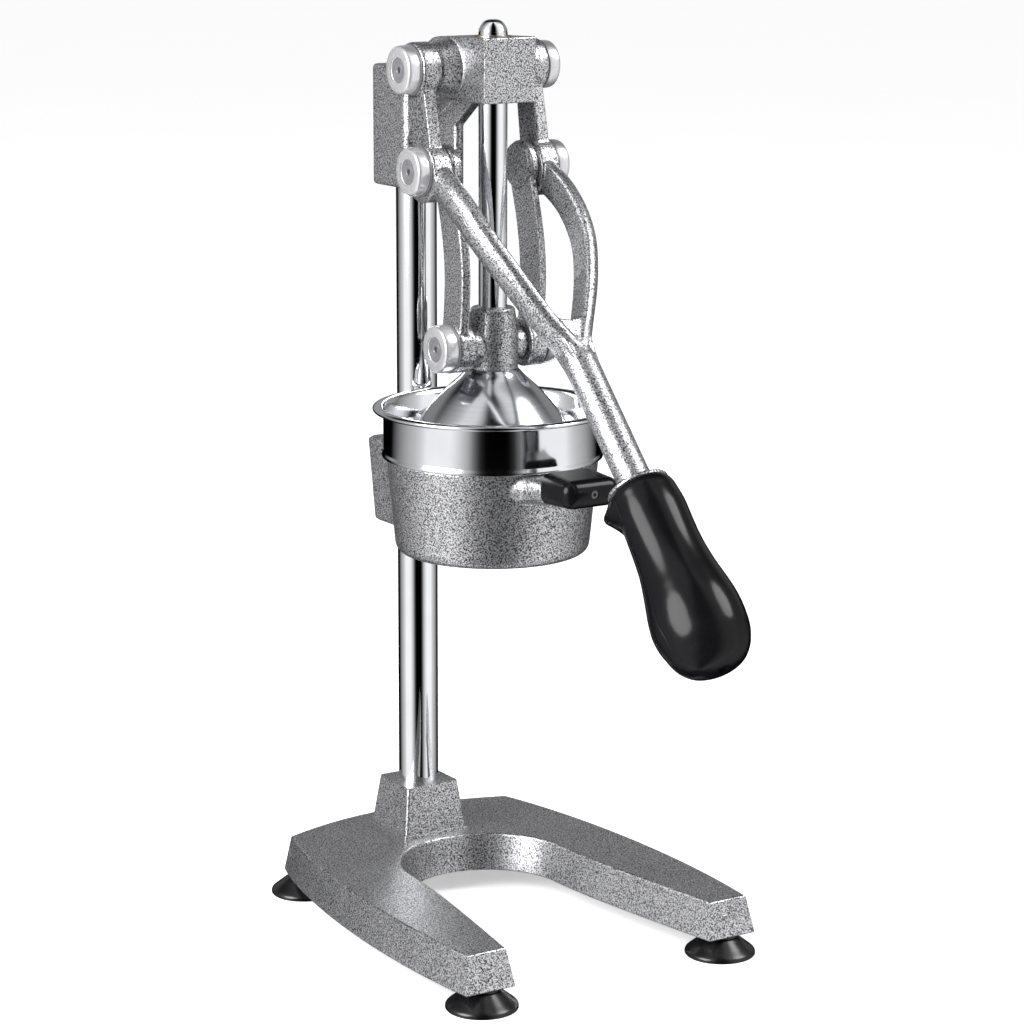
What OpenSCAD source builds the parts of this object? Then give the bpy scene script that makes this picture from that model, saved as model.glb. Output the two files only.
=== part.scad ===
// Lever citrus juice press for a kitchen or bar counter.
// Millimetres. +Z is up, the lever and the open side of the base face -Y, and X is the width.
// The origin is the middle of the whole press's footprint, on the surface that it stands on.
// "ahead" below means a distance in front of the column's axis, which is towards -Y.

/* [Column] */
// Outside diameter of the chromed column tube
column_d = 22; // [20:0.5:28]
// Wall of the column tube
column_wall = 2; // [1.5:0.25:3]
// Depth of the column tube's top below the head clamp's top
column_under = 5.9; // [3:0.1:16]
// Gap on the radius between the column and the castings that it fits in
column_gap = 0.05; // [0.02:0.01:0.1]

/* [Base casting] */
// Height of the base's underside above the counter
base_z = 11; // [9:0.5:16]
// Height of the base casting, underside to top face
base_h = 20.3; // [18:0.1:26]
// Half width of the base at its rear corners, top face
base_half_rear = 70.5; // [66:0.5:80]
// Half width of the two prongs' outer sides at the front, top face
base_half_front = 85.8; // [80:0.2:96]
// Half width of the mouth between the prongs at the front, top face
mouth_half = 63.2; // [58:0.2:68]
// Distance of the prongs' ends ahead of the column's axis
base_front = 193.2; // [180:0.2:210]
// Distance of the rear corners behind the column's axis
base_rear = 20.5; // [18:0.5:26]
// How far the rear edge bulges out between the corners
rear_bulge = 14.3; // [8:0.1:18]
// Radius of the round end of the U opening
u_r = 47; // [42:0.5:52]
// Width of the flat between the foot block's ledge and the U's round end
u_land = 6.3; // [4:0.1:14]
// Draft: how much wider the sides are at the underside
base_draft = 3.6; // [2:0.1:4.5]
// Bevel round the top edge
base_bevel = 1.1; // [0.6:0.1:2]
// Wall left round the hollow underside
base_wall = 7; // [6:0.5:9]
// Thickness of the top plate over the hollow underside
base_plate = 9; // [7:0.5:11]

/* [Column foot] */
// Half width of the foot block's top
foot_top_half = 16; // [15:0.1:18]
// Half width of the foot block at the base
foot_base_half = 19.6; // [18.5:0.1:22]
// Height of the foot block above the base's top face
foot_h = 27.9; // [22:0.1:34]
// Height of the small ledge round the foot block
ledge_h = 1.6; // [1:0.1:3]
// How far that ledge stands out
ledge_out = 1.1; // [0.5:0.1:2]

/* [Suction feet] */
// Radius of a suction foot's lip
lip_r = 18.6; // [16:0.1:20]
// Radius of a suction foot's neck
neck_r = 8.5; // [7:0.1:10]
// Thickness of the lip's edge
lip_t = 1.4; // [1:0.1:2]
// Depth of the hollow under the lip
lip_hollow = 2.6; // [1.5:0.1:3.5]
// Distance of the front feet behind the prongs' ends
feet_front_in = 6.2; // [5:0.1:16]
// Distance of the rear feet in from the base's rear corners, to the middle
feet_side_in = 5; // [4:0.5:12]
// Distance of the rear feet in from the base's rear corners, to the front
feet_rear_in = 6.5; // [5:0.5:12]
// Radius of the feet's mounting studs
stud_r = 2.5; // [2:0.1:3]

/* [Head bracket] */
// Half width of the clamp round the column
clamp_half = 17; // [16.5:0.1:20]
// Distance of the clamp's back and front faces from the column's axis
clamp_reach = 18; // [17:0.2:21]
// Height of the clamp
clamp_h = 64.6; // [58:0.2:70]
// Half width of the ram block
block_half = 15.5; // [14:0.1:15.8]
// Height of the ram block
block_h = 33.5; // [30:0.1:38]
// Height of the ram block's top above the fixed upper pivot
block_over = 17.2; // [16:0.1:20]
// Distance of the ram block's front face ahead of the ram's axis
block_before = 16.7; // [15:0.1:20]
// Distance of the ram block's rear corner behind the fixed upper pivot
block_behind = 14.1; // [12:0.1:17]
// Depth of the clamp's top below the fixed upper pivot
clamp_under = 2.2; // [1:0.1:4]
// Thickness of the thin web under the beam
web_t = 6; // [5:0.2:8]

/* [Linkage] */
// Distance of the fixed upper pivot ahead of the column's axis
pivot_ahead = 59.4; // [57:0.1:60]
// Height of the fixed upper pivot
pivot_z = 458.6; // [457:0.1:460]
// Distance between the upper pivot and the lever's middle pivot
crank_l = 52; // [50:0.1:54]
// Angle of that short arm ahead of straight down, at rest
crank_deg = 10.4; // [8:0.1:14]
// Distance of the ram's axis ahead of the column's axis
ram_ahead = 78; // [77.5:0.1:80]
// Distance between a link's two pivots
link_l = 92; // [90:0.1:94]
// Radius of the pivot pins
pin_r = 6.5; // [6:0.1:6.8]
// Running gap between a pin and the eye that turns on it
run_gap = 0.05; // [0.03:0.01:0.1]
// Radius of the polished caps on the pins
cap_r = 12.5; // [12:0.1:13]
// Thickness of the caps on the lever's pins
cap_t = 6.8; // [6:0.1:8]
// Thickness of the caps on the lower pins
low_cap_t = 7.8; // [6:0.1:8]
// Thickness of the washer under a cap
washer_t = 0.8; // [0.5:0.1:1.2]
// Side gap between parts that turn against each other
side_gap = 0.3; // [0.2:0.05:0.4]
// Length that a pin's end is set back inside its cap
pin_back = 0.6; // [0.3:0.1:1.2]
// How far the head's side bosses stand out from the block
boss_out = 11.2; // [11:0.1:12]
// Radius of a head boss at the block
boss_r = 15.3; // [14.4:0.1:16]
// Thickness of the lever's eyes
eye_t = 11.1; // [10:0.1:12]
// Radius of the lever's eyes
yoke_eye_r = 14; // [13:0.1:14.6]
// Radius of the links' eyes and of the washers
eye_r = 13; // [12:0.1:13.4]

/* [Links] */
// Width of a link's bar on its inner face
link_w = 21.2; // [18:0.2:22]
// How much narrower each edge of the bar is on its outer face
link_draft = 1.4; // [0.5:0.1:2]
// How much thinner a link's bar is than its upper eye
bar_under = 0.3; // [0.1:0.1:0.6]
// How far the bar bows forward between its eyes
link_bow = 6.8; // [4:0.1:7.5]
// Gap between the ram block's side and the upper eye of a link
link_gap = 4.3; // [3:0.1:4.5]
// Height of the raised round face inside the upper eye
face_h = 1.5; // [1:0.1:1.6]
// Radius of that raised round face
face_r = 12; // [9:0.1:12.4]

/* [Ram] */
// Radius of the ram rod
ram_r = 7.5; // [7:0.05:8]
// Height of the ram's top above the ram block, at rest
ram_proud = 8.2; // [6.4:0.1:20]
// Height of the rounded point on top of the ram
ram_point_h = 5.4; // [4:0.1:7]
// Radius of the collar's lower part
collar_r = 13.3; // [12.8:0.1:14]
// Radius of the collar at its top
collar_top_r = 11.6; // [11:0.1:12.6]
// Height of the collar
collar_h = 32.5; // [28:0.1:36]
// Height of the lower pivot above the collar's underside
collar_pin_up = 12.5; // [12:0.1:14]
// How much further out the collar's side bosses reach than the ram block
collar_more = 1; // [0.5:0.1:1.5]
// Radius of the collar's side bosses
collar_boss_r = 9; // [8.4:0.1:10]
// Outside radius of the ram's bushes
bush_r = 9.5; // [9.2:0.1:10]
// Length of a ram bush
bush_l = 10; // [8:0.5:14]

/* [Press bell] */
// Gap between the bell's rim and the bowl's wall at its top
bell_gap = 3.8; // [3.2:0.1:6]
// Depth of the bell's rim below the holder's rim, at rest
bell_sink = 7.1; // [5:0.1:9]
// Height of the bell
bell_h = 53.3; // [50:0.1:54]
// Sheet thickness of the bell
bell_t = 2; // [1.5:0.1:2.5]
// Width across the flats of the nut inside the bell
nut_af = 16; // [15:0.5:17]
// Height of that nut
nut_h = 8; // [6:0.5:8.5]
// Radius of the ram's threaded lower end
thread_r = 5; // [4.5:0.1:5.5]

/* [Cup holder] */
// Outside radius of the holder at its top rim
holder_top_r = 56; // [55:0.1:57]
// Outside radius of the holder near its bottom
holder_low_r = 51; // [50.2:0.1:53]
// Height of the holder
holder_h = 51.2; // [51:0.1:54]
// Wall of the holder
holder_wall = 4; // [3.5:0.1:4.2]
// Radius of the hole in the holder's floor
holder_hole_r = 20; // [18:0.2:24]
// Half width of the holder's column block at its top
hblock_half = 20; // [18.5:0.2:22]
// Height of the holder's column block
hblock_h = 47.3; // [42:0.1:50]
// How much narrower each side of that block is at its bottom
hblock_draft = 2.5; // [1:0.1:3.5]
// Distance of that block's back from the column's axis, at its top
hblock_back = 21; // [19.5:0.2:23]

/* [Holder handle] */
// Half width of the front handle
handle_half = 16.7; // [14:0.1:18]
// Height of the front handle
handle_h = 14.8; // [13:0.1:16]
// Length of the lug ahead of the holder's rim
lug_l = 16.4; // [14:0.2:20]
// Length of the handle
handle_l = 25; // [20:0.2:27]
// Depth of the handle's middle below the holder's rim
handle_under = 4.2; // [3.8:0.1:7]
// Radius of the screw in the handle's face
handle_screw_r = 1.5; // [1.2:0.1:1.7]

/* [Juice bowl and strainer] */
// How far the bowl's visible band stands out beyond the holder's rim
band_out = 1.5; // [1:0.1:3]
// Height from the holder's rim to the middle of the bowl's rolled rim
band_h = 25.1; // [22:0.1:28]
// Sheet thickness of the bowl
bowl_t = 1.2; // [0.8:0.1:1.4]
// Half width of the rolled rim
rim_half = 2.8; // [2.2:0.1:3]
// Half height of the rolled rim
rim_half_h = 1.6; // [1.3:0.1:2]
// Radius of the bowl's spout
spout_r = 15; // [13:0.2:16.5]
// Height of the bowl's inner ledge above the holder's underside
ledge_up = 21; // [20:0.2:24]
// Gap round the strainer's flange in the bowl
strainer_gap = 0.75; // [0.5:0.05:2]
// Clearance between the strainer's tip and the nut in the bell, at rest
tip_gap = 8.4; // [7.5:0.1:14]
// Radius of the strainer cone at its foot
cone_r = 39; // [36:0.2:40]
// Radius of the strainer cone's rounded tip
tip_r = 8; // [6:0.2:9]
// Number of slots and of ribs round the strainer cone
slots = 16; // [12:1:20]
// Width of a strainer slot
slot_w = 2; // [1.5:0.1:2.5]

/* [Lever] */
// Angle of the straight part of the lever below level, at rest
lever_deg = 46.4; // [45:0.1:50]
// Clearance between the front handle and the lever's grip, at rest
lever_gap = 12.1; // [9:0.05:16]
// Depth of the lever's knee below its middle pivot, at rest
knee_drop = 90.05; // [86:0.05:93]
// Radius of the lever's round shaft
shaft_r = 8.8; // [8:0.1:9.4]
// Length of the round shaft from the knee to the grip's flange
shaft_l = 74; // [64:0.5:84]
// Width of the fork arms, seen from the side
arm_w = 17.6; // [16:0.1:19]
// Thickness of the fork arms
arm_t = 9.5; // [8:0.1:10.5]
// Thickness of the flat arms above the middle pivot
flat_t = 7; // [6:0.1:8]
// Half width of the flat arms at the upper pivot
flat_top_half = 7.5; // [6.5:0.1:8.5]
// Half width of the flat arms at the middle pivot
flat_low_half = 9.5; // [8.5:0.1:10.5]
// Radius of the flange above the grip
flange_r = 16; // [12:0.1:16.2]
// Thickness of that flange
flange_t = 2; // [1.5:0.1:2.5]

/* [Grip] */
// Length of the grip
grip_l = 103.5; // [95:0.5:110]
// Largest radius of the grip
grip_r = 23.6; // [21:0.1:25]
// Radius of the finger stop's rounded edge
stop_r = 4.6; // [3:0.1:5]
// Radius of the shaft's tang inside the grip
tang_r = 6; // [5:0.1:6.5]
// Length of that tang
tang_l = 78; // [60:1:80]
// Radius of the screw in the grip's end
grip_screw_r = 3; // [2.5:0.1:3.5]

/* [Hidden] */
$fn = 96;
// Facets of a hull's own pieces
soft_fn = 32;
// Overrun of every cut past the face that it opens
over = 1;

// Paint, metal, plastic and rubber
paint_c = [0.56, 0.56, 0.58];
chrome_c = [0.86, 0.87, 0.9];
steel_c = [0.75, 0.76, 0.79];
dark_steel_c = [0.45, 0.46, 0.5];
bronze_c = [0.62, 0.47, 0.28];
plastic_c = [0.06, 0.06, 0.07];
rubber_c = [0.04, 0.04, 0.045];

// Heights and places that follow from the sizes above
base_top = base_z + base_h;
column_r = column_d / 2;
seat_r = column_r + column_gap;
foot_top = base_top + foot_h;
insert_r = column_r - column_wall;
u_ahead = foot_base_half + ledge_out + u_land + u_r;
// Where the front feet stand between a prong's inner and outer side, as a share
feet_share = 0.469;
feet_half_front = mouth_half + feet_share * (base_half_front - mouth_half);
feet_front = base_front - feet_front_in;
feet_half_rear = base_half_rear - feet_side_in;
feet_rear = base_rear - feet_rear_in;
// Share of the top plate that lies under the column's end
plate_share = 0.5;
column_bottom = base_top - base_plate + plate_share * base_plate;
block_top = pivot_z + block_over;
block_front = ram_ahead + block_before;
block_rear = pivot_ahead - block_behind;
clamp_top = pivot_z - clamp_under;
column_top = clamp_top - column_under;
ram_top = block_top + ram_proud;
mid_ahead = pivot_ahead + crank_l * sin(crank_deg);
mid_z = pivot_z - crank_l * cos(crank_deg);
low_z = mid_z - sqrt(link_l * link_l - (ram_ahead - mid_ahead) * (ram_ahead - mid_ahead));
collar_z = low_z - collar_pin_up;
bell_rim_z = collar_z - bell_h;
block_z = block_top - block_h;
clamp_z = clamp_top - clamp_h;
holder_top = bell_rim_z + bell_sink;
holder_z = holder_top - holder_h;
ledge_z = holder_z + ledge_up;
rim_z = holder_top + band_h;
lug_end = holder_top_r + lug_l;
handle_front = lug_end + handle_l;
handle_z = holder_top - handle_under;
rod_end = collar_z - bell_t - nut_h;
cone_h = rod_end - tip_gap - ledge_z;
band_r = holder_top_r + band_out;

// Places across the width, from the middle outwards
boss_x = block_half + boss_out;
eye_x = boss_x + side_gap;
head_washer_x = eye_x + eye_t + side_gap;
head_cap_x = head_washer_x + washer_t;
// How far the lever's middle eye stands in towards the link
middle_step = 0.6;
link_x = block_half + link_gap;
link_bar_x = link_x + face_h;
link_face_x = eye_x - side_gap - middle_step;
link_t = link_face_x - link_bar_x - bar_under;
collar_half = block_half + collar_more;
low_eye_x = collar_half + side_gap;
lower_eye_t = boss_x - low_eye_x;
low_washer_x = low_eye_x + lower_eye_t + side_gap;
low_cap_x = low_washer_x + washer_t;
// Depths that the fixed pins reach into the head and into the collar, from the middle
head_pin_in = 8;
collar_pin_in = 10.6;

// The grip's outline: shares of its length and of its largest radius
grip_shares = [[0, 0.678], [0.034, 0.708], [0.092, 0.72], [0.15, 0.731], [0.266, 0.735],
    [0.343, 0.748], [0.42, 0.778], [0.498, 0.833], [0.575, 0.903], [0.652, 0.968], [0.729, 1],
    [0.768, 0.994], [0.807, 0.975], [0.845, 0.939], [0.884, 0.883], [0.923, 0.797],
    [0.961, 0.648], [0.985, 0.49], [1, 0.32]];
grip_start = shaft_l + flange_t;
// The knee stands where the grip's neck clears the front handle's upper edge
neck_share = 0.73;
knee_z = mid_z - knee_drop;
knee_ahead = ram_ahead + handle_front + (neck_share * grip_r + lever_gap
    - (knee_z - handle_z - handle_h / 2) * cos(lever_deg)) / sin(lever_deg);

// Middle of the footprint: half way between the grip's front and the base's rear edge
front_reach = knee_ahead + max([for (p = grip_shares)
    (grip_start + p[0] * grip_l) * cos(lever_deg) + p[1] * grip_r * sin(lever_deg)]);
rear_reach = base_rear + rear_bulge + base_draft;
middle_y = (front_reach - rear_reach) / 2;

// Sets the column's axis at its place behind the middle of the footprint
module place() translate([0, middle_y, 0]) children();
// A point a given distance ahead of the column's axis, at a given height
module at(ahead, z) translate([0, -ahead, z]) children();
// A bar along X between two distances from the middle, side = -1 left or 1 right
module across(r, x0, x1, side, r2 = -1)
    translate([side * x0, 0, 0]) rotate([0, side * 90, 0])
        cylinder(h = x1 - x0, r1 = r, r2 = r2 < 0 ? r : r2);
// A plate of given thickness across X from an outline in distances ahead and heights
module side_plate(points, x0, x1)
    translate([x0, 0, 0]) rotate([90, 0, 90]) linear_extrude(x1 - x0)
        polygon([for (p = points) [-p[0], p[1]]]);
// One point of a cubic curve through four control points
function bez(a, b, c, d, t) =
    a * pow(1 - t, 3) + b * 3 * t * pow(1 - t, 2) + c * 3 * t * t * (1 - t) + d * pow(t, 3);
// One point of a smooth curve that passes through a list of points
function smooth_at(list, i, t) =
    let (n = len(list) - 1, a = list[max(i - 1, 0)], b = list[i], c = list[min(i + 1, n)],
        d = list[min(i + 2, n)])
    0.5 * (2 * b + (c - a) * t + (2 * a - 5 * b + 4 * c - d) * t * t
        + (3 * b - a - 3 * c + d) * t * t * t);
function smooth(list, steps) = [for (i = [0:len(list) - 2], k = [0:steps - 1])
    smooth_at(list, i, k / steps), list[len(list) - 1]];
function unit(v) = v / norm(v);

// Base casting: the right half of its outline, in [x, ahead], as an outer line from the
// rear middle and an inner line from the U's round end, both to the prong's front
turn_steps = 6;
side_steps = 10;
// Where the curves' inner control points lie: shares of the half width and of the front
outer_shares = [[1.2, 0.12], [1.12, 0.57]];
inner_shares = [[1.01, 0.52], [0.87, 0.75]];
outer_half = concat([for (k = [0:turn_steps - 1]) let (s = k / turn_steps)
    [s * base_half_rear, -base_rear - rear_bulge * (1 - s * s)]],
    [for (k = [0:side_steps]) bez([base_half_rear, -base_rear],
        [base_half_rear * outer_shares[0][0], base_front * outer_shares[0][1]],
        [base_half_front * outer_shares[1][0], base_front * outer_shares[1][1]],
        [base_half_front, base_front], k / side_steps)]);
inner_half = concat([for (k = [0:turn_steps - 1]) let (a = 90 * k / turn_steps)
    [u_r * sin(a), u_ahead - u_r * cos(a)]],
    [for (k = [0:side_steps]) bez([u_r, u_ahead],
        [u_r * inner_shares[0][0], base_front * inner_shares[0][1]],
        [mouth_half * inner_shares[1][0], base_front * inner_shares[1][1]],
        [mouth_half, base_front], k / side_steps)]);
half_n = turn_steps + side_steps;
base_outline = concat(outer_half, [for (i = [half_n:-1:0]) inner_half[i]],
    [for (i = [1:half_n]) [-inner_half[i][0], inner_half[i][1]]],
    [for (i = [half_n:-1:1]) [-outer_half[i][0], outer_half[i][1]]]);
// Strips between the outer and the inner line, which fill the outline at either end
base_strips = concat([for (i = [0:half_n - 1])
    [i, i + 1, 2 * half_n - i, 2 * half_n + 1 - i]],
    [for (i = [0:half_n - 1]) [2 * half_n + 1 + i, 2 * half_n + 2 + i,
        4 * half_n + 1 - i, i == 0 ? 0 : 4 * half_n + 2 - i]]);
// The outline moved outwards by d, corners kept sharp
function moved(list, d) = let (n = len(list)) [for (i = [0:n - 1])
    let (u = unit(list[i] - list[(i + n - 1) % n]), v = unit(list[(i + 1) % n] - list[i]),
        nu = [u[1], -u[0]], nv = [v[1], -v[0]])
    list[i] + d * (nu + nv) / (1 + nu * nv)];
function ring(list, z) = [for (p = list) [p[0], -p[1], z]];

module base_shape() {
    n = len(base_outline);
    points = concat(ring(moved(base_outline, base_draft), base_z),
        ring(moved(base_outline, base_draft * base_bevel / base_h), base_top - base_bevel),
        ring(moved(base_outline, -base_bevel), base_top));
    polyhedron(points, concat([for (f = base_strips) [f[3], f[2], f[1], f[0]]],
        [for (f = base_strips) [for (i = f) 2 * n + i]],
        [for (k = [0:1], i = [0:n - 1])
            [k * n + i, k * n + (i + 1) % n, k * n + n + (i + 1) % n, k * n + n + i]]));
}

module foot_block() {
    hull() {
        translate([-foot_base_half, -foot_base_half, base_top])
            cube([2 * foot_base_half, 2 * foot_base_half, ledge_h]);
        translate([-foot_top_half, -foot_top_half, foot_top - ledge_h])
            cube([2 * foot_top_half, 2 * foot_top_half, ledge_h]);
    }
    side = 2 * (foot_base_half + ledge_out);
    translate([-side / 2, -side / 2, base_top - over]) cube([side, side, ledge_h + over]);
}

module at_feet() {
    for (s = [-1, 1]) {
        translate([s * feet_half_front, -feet_front, 0]) children();
        translate([s * feet_half_rear, feet_rear, 0]) children();
    }
}

// Radius of the boss that takes a foot's stud
foot_boss_r = 9;
// Length of a foot's stud above the underside
stud_up = 10;
module base_casting() place() color(paint_c) difference() {
    union() {
        difference() {
            base_shape();
            difference() {
                translate([0, 0, base_z - over]) linear_extrude(base_h - base_plate + over)
                    polygon([for (p = moved(base_outline, base_draft - base_wall))
                        [p[0], -p[1]]]);
                at_feet() cylinder(h = base_top, r = foot_boss_r);
            }
        }
        foot_block();
    }
    translate([0, 0, column_bottom]) cylinder(h = foot_top, r = seat_r);
    cylinder(h = column_bottom + over, r = thread_r + column_gap);
    at_feet() translate([0, 0, base_z - over]) cylinder(h = stud_up + over, r = stud_r);
}

// Share of the foot's height at which its flare meets the neck
flare_share = 0.8;
flare_steps = 7;
// Height at which the stud starts inside the rubber
stud_from = 5;
module suction_foot(x, ahead) place() color(rubber_c) translate([x, -ahead, 0])
    difference() {
        rotate_extrude() polygon(concat([[0, lip_hollow], [neck_r, lip_hollow],
            [lip_r - lip_t, 0], [lip_r, 0], [lip_r, lip_t]],
            [for (k = [1:flare_steps - 1]) let (a = 90 * k / flare_steps)
                [lip_r + (neck_r - lip_r) * sin(a),
                lip_t + (base_z * flare_share - lip_t) * (1 - cos(a))]],
            [[neck_r, base_z * flare_share], [neck_r, base_z], [0, base_z]]));
        translate([0, 0, stud_from]) cylinder(h = base_z, r = stud_r);
    }
module suction_foot_front_left() suction_foot(-feet_half_front, feet_front);
module suction_foot_front_right() suction_foot(feet_half_front, feet_front);
module suction_foot_rear_left() suction_foot(-feet_half_rear, -feet_rear);
module suction_foot_rear_right() suction_foot(feet_half_rear, -feet_rear);
module foot_studs() place() color(steel_c) at_feet()
    translate([0, 0, stud_from]) cylinder(h = base_z + stud_up - stud_from, r = stud_r);

module column_tube() place() color(chrome_c) difference() {
    translate([0, 0, column_bottom]) cylinder(h = column_top - column_bottom, r = column_r);
    translate([0, 0, column_bottom - over])
        cylinder(h = column_top - column_bottom + 2 * over, r = insert_r);
}
// Length of the threaded insert in the column's foot, and of the bolt in it
insert_l = 28;
bolt_l = 24;
bolt_head_h = 6.4;
bolt_washer_t = 1.8;
module column_insert() place() color(steel_c) difference() {
    translate([0, 0, column_bottom]) cylinder(h = insert_l, r = insert_r);
    translate([0, 0, column_bottom - over]) cylinder(h = insert_l + 2 * over, r = thread_r);
}
module column_bolt() place() color(steel_c) {
    seat = base_top - base_plate;
    translate([0, 0, seat - bolt_washer_t])
        cylinder(h = column_bottom + bolt_l - seat + bolt_washer_t, r = thread_r);
    translate([0, 0, seat - bolt_washer_t]) cylinder(h = bolt_washer_t, r = 2 * thread_r);
    translate([0, 0, seat - bolt_washer_t - bolt_head_h])
        cylinder(h = bolt_head_h, r = nut_af / sqrt(3), $fn = 6);
}

// Head bracket: a clamp, a beam that rises forward to the ram block, and a thin web
beam_low = clamp_z + clamp_h / 2;
// Height of the web's lower edge above the clamp's underside
web_up = 4.2;
web_low = clamp_z + web_up;
// How far the web's front edge, the beam's haunch and its crown lie behind the block's
// rear corner, and how far the gusset reaches ahead of the fixed upper pivot
web_behind = 2.3;
web_ahead = block_rear - web_behind;
gusset_before = 6.6;
gusset_ahead = pivot_ahead + gusset_before;
gusset_drop = 16;
haunch_behind = 15.3;
haunch_ahead = block_rear - haunch_behind;
haunch_drop = 10;
crown_behind = 7.5;
crown_ahead = block_rear - crown_behind;
crown_drop = 5;
// How much lower the block's top is at its rear corner
top_slope = 1.6;
screw_hole_r = 3;
head_screw_z = [clamp_z + clamp_h * 0.22, clamp_z + clamp_h * 0.72];
plug_r = 3.2;
plug_before = 4.5;
plug_ahead = ram_ahead + plug_before;
plug_l = 5;
plug_proud = 0.25;
// Share of a head boss's radius that is left at its tip
boss_tip_share = 0.82;
module head_bracket() place() color(paint_c) difference() {
    union() {
        translate([-clamp_half, -clamp_reach, clamp_z])
            cube([2 * clamp_half, 2 * clamp_reach, clamp_h]);
        side_plate([[0, beam_low], [clamp_reach, beam_low],
            [haunch_ahead, block_z - haunch_drop], [block_rear, block_z],
            [block_front, block_z], [block_front, block_top],
            [block_rear, block_top - top_slope], [crown_ahead, block_top - crown_drop],
            [clamp_reach, clamp_top], [0, clamp_top]], -block_half, block_half);
        side_plate([[0, web_low], [web_ahead, web_low], [web_ahead, block_top - block_h / 2],
            [0, clamp_top]], -web_t / 2, web_t / 2);
        at(web_ahead, web_low) cylinder(h = block_z - web_low + over, r = web_t / 2);
        side_plate([[web_ahead, block_z - gusset_drop], [gusset_ahead, block_z + over],
            [web_ahead, block_z + over]], -web_t / 2, web_t / 2);
        for (s = [-1, 1]) at(pivot_ahead, pivot_z)
            across(boss_r, block_half, boss_x, s, boss_r * boss_tip_share);
    }
    translate([0, 0, clamp_z - over]) cylinder(h = column_top - clamp_z + over, r = seat_r);
    at(ram_ahead, block_z - over) cylinder(h = block_h + 2 * over, r = ram_r + 2 * run_gap);
    at(ram_ahead, block_z - over) cylinder(h = bush_l + over, r = bush_r);
    at(ram_ahead, block_top - bush_l) cylinder(h = bush_l + over, r = bush_r);
    for (s = [-1, 1]) at(pivot_ahead, pivot_z) across(pin_r, head_pin_in, boss_x + over, s);
    for (z = head_screw_z) translate([0, 0, z]) rotate([-90, 0, 0])
        cylinder(h = clamp_reach + over, r = screw_hole_r);
    at(plug_ahead, pivot_z) across(plug_r, block_half - plug_l, block_half + over, -1);
}

// A slotted or socketed grub screw that presses on the column from behind
socket_r = 1.7;
module grub_screw(z, length) translate([0, 0, z]) rotate([-90, 0, 0]) difference() {
    translate([0, 0, column_r]) cylinder(h = length, r = screw_hole_r);
    translate([0, 0, column_r + length * 0.5]) cylinder(h = length, r = socket_r, $fn = 6);
}
grub_l = 6;
module head_set_screws() place() color(dark_steel_c) for (z = head_screw_z)
    grub_screw(z, grub_l);
module head_plug() place() color(paint_c) at(plug_ahead, pivot_z)
    across(plug_r, block_half - plug_l, block_half + plug_proud, -1);

module bush() difference() {
    cylinder(h = bush_l, r = bush_r);
    translate([0, 0, -over]) cylinder(h = bush_l + 2 * over, r = ram_r + run_gap);
}
module ram_bush_upper() place() color(bronze_c) at(ram_ahead, block_top - bush_l) bush();
module ram_bush_lower() place() color(bronze_c) at(ram_ahead, block_z) bush();

// A polished cap ring, pressed on the end of a pin, with a softened outer edge
cap_bevel = 0.7;
module cap_ring(x, side, t = cap_t) translate([side * x, 0, 0]) rotate([0, side * 90, 0])
    rotate_extrude() polygon([[pin_r, 0], [cap_r, 0], [cap_r, t - cap_bevel],
        [cap_r - cap_bevel, t], [pin_r, t]]);
// A pin with a lathe centre in its outer end
centre_r = 1.6;
centre_d = 1;
module pin(x0, x1, side) difference() {
    across(pin_r, x0, x1, side);
    across(centre_r, x1 - centre_d, x1 + over, side);
}
module washer(x, side) difference() {
    across(eye_r, x, x + washer_t, side);
    across(pin_r, x - over, x + washer_t + over, side);
}
head_pin_end = head_cap_x + cap_t - pin_back;
low_pin_end = low_cap_x + low_cap_t - pin_back;
module head_pin_left() place() color(steel_c) at(pivot_ahead, pivot_z)
    pin(head_pin_in, head_pin_end, -1);
module head_pin_right() place() color(steel_c) at(pivot_ahead, pivot_z)
    pin(head_pin_in, head_pin_end, 1);
module head_cap_left() place() color(chrome_c) at(pivot_ahead, pivot_z)
    cap_ring(head_cap_x, -1);
module head_cap_right() place() color(chrome_c) at(pivot_ahead, pivot_z)
    cap_ring(head_cap_x, 1);
module head_washer_left() place() color(steel_c) at(pivot_ahead, pivot_z)
    washer(head_washer_x, -1);
module head_washer_right() place() color(steel_c) at(pivot_ahead, pivot_z)
    washer(head_washer_x, 1);

// Cup holder: a drafted cup, a block round the column and a lug for the front handle
holder_round = 4;
holder_floor = 4;
// How far the column block reaches into the cup's wall
block_into = 6.5;
lug_h = 14;
lug_half = 15.6;
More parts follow.
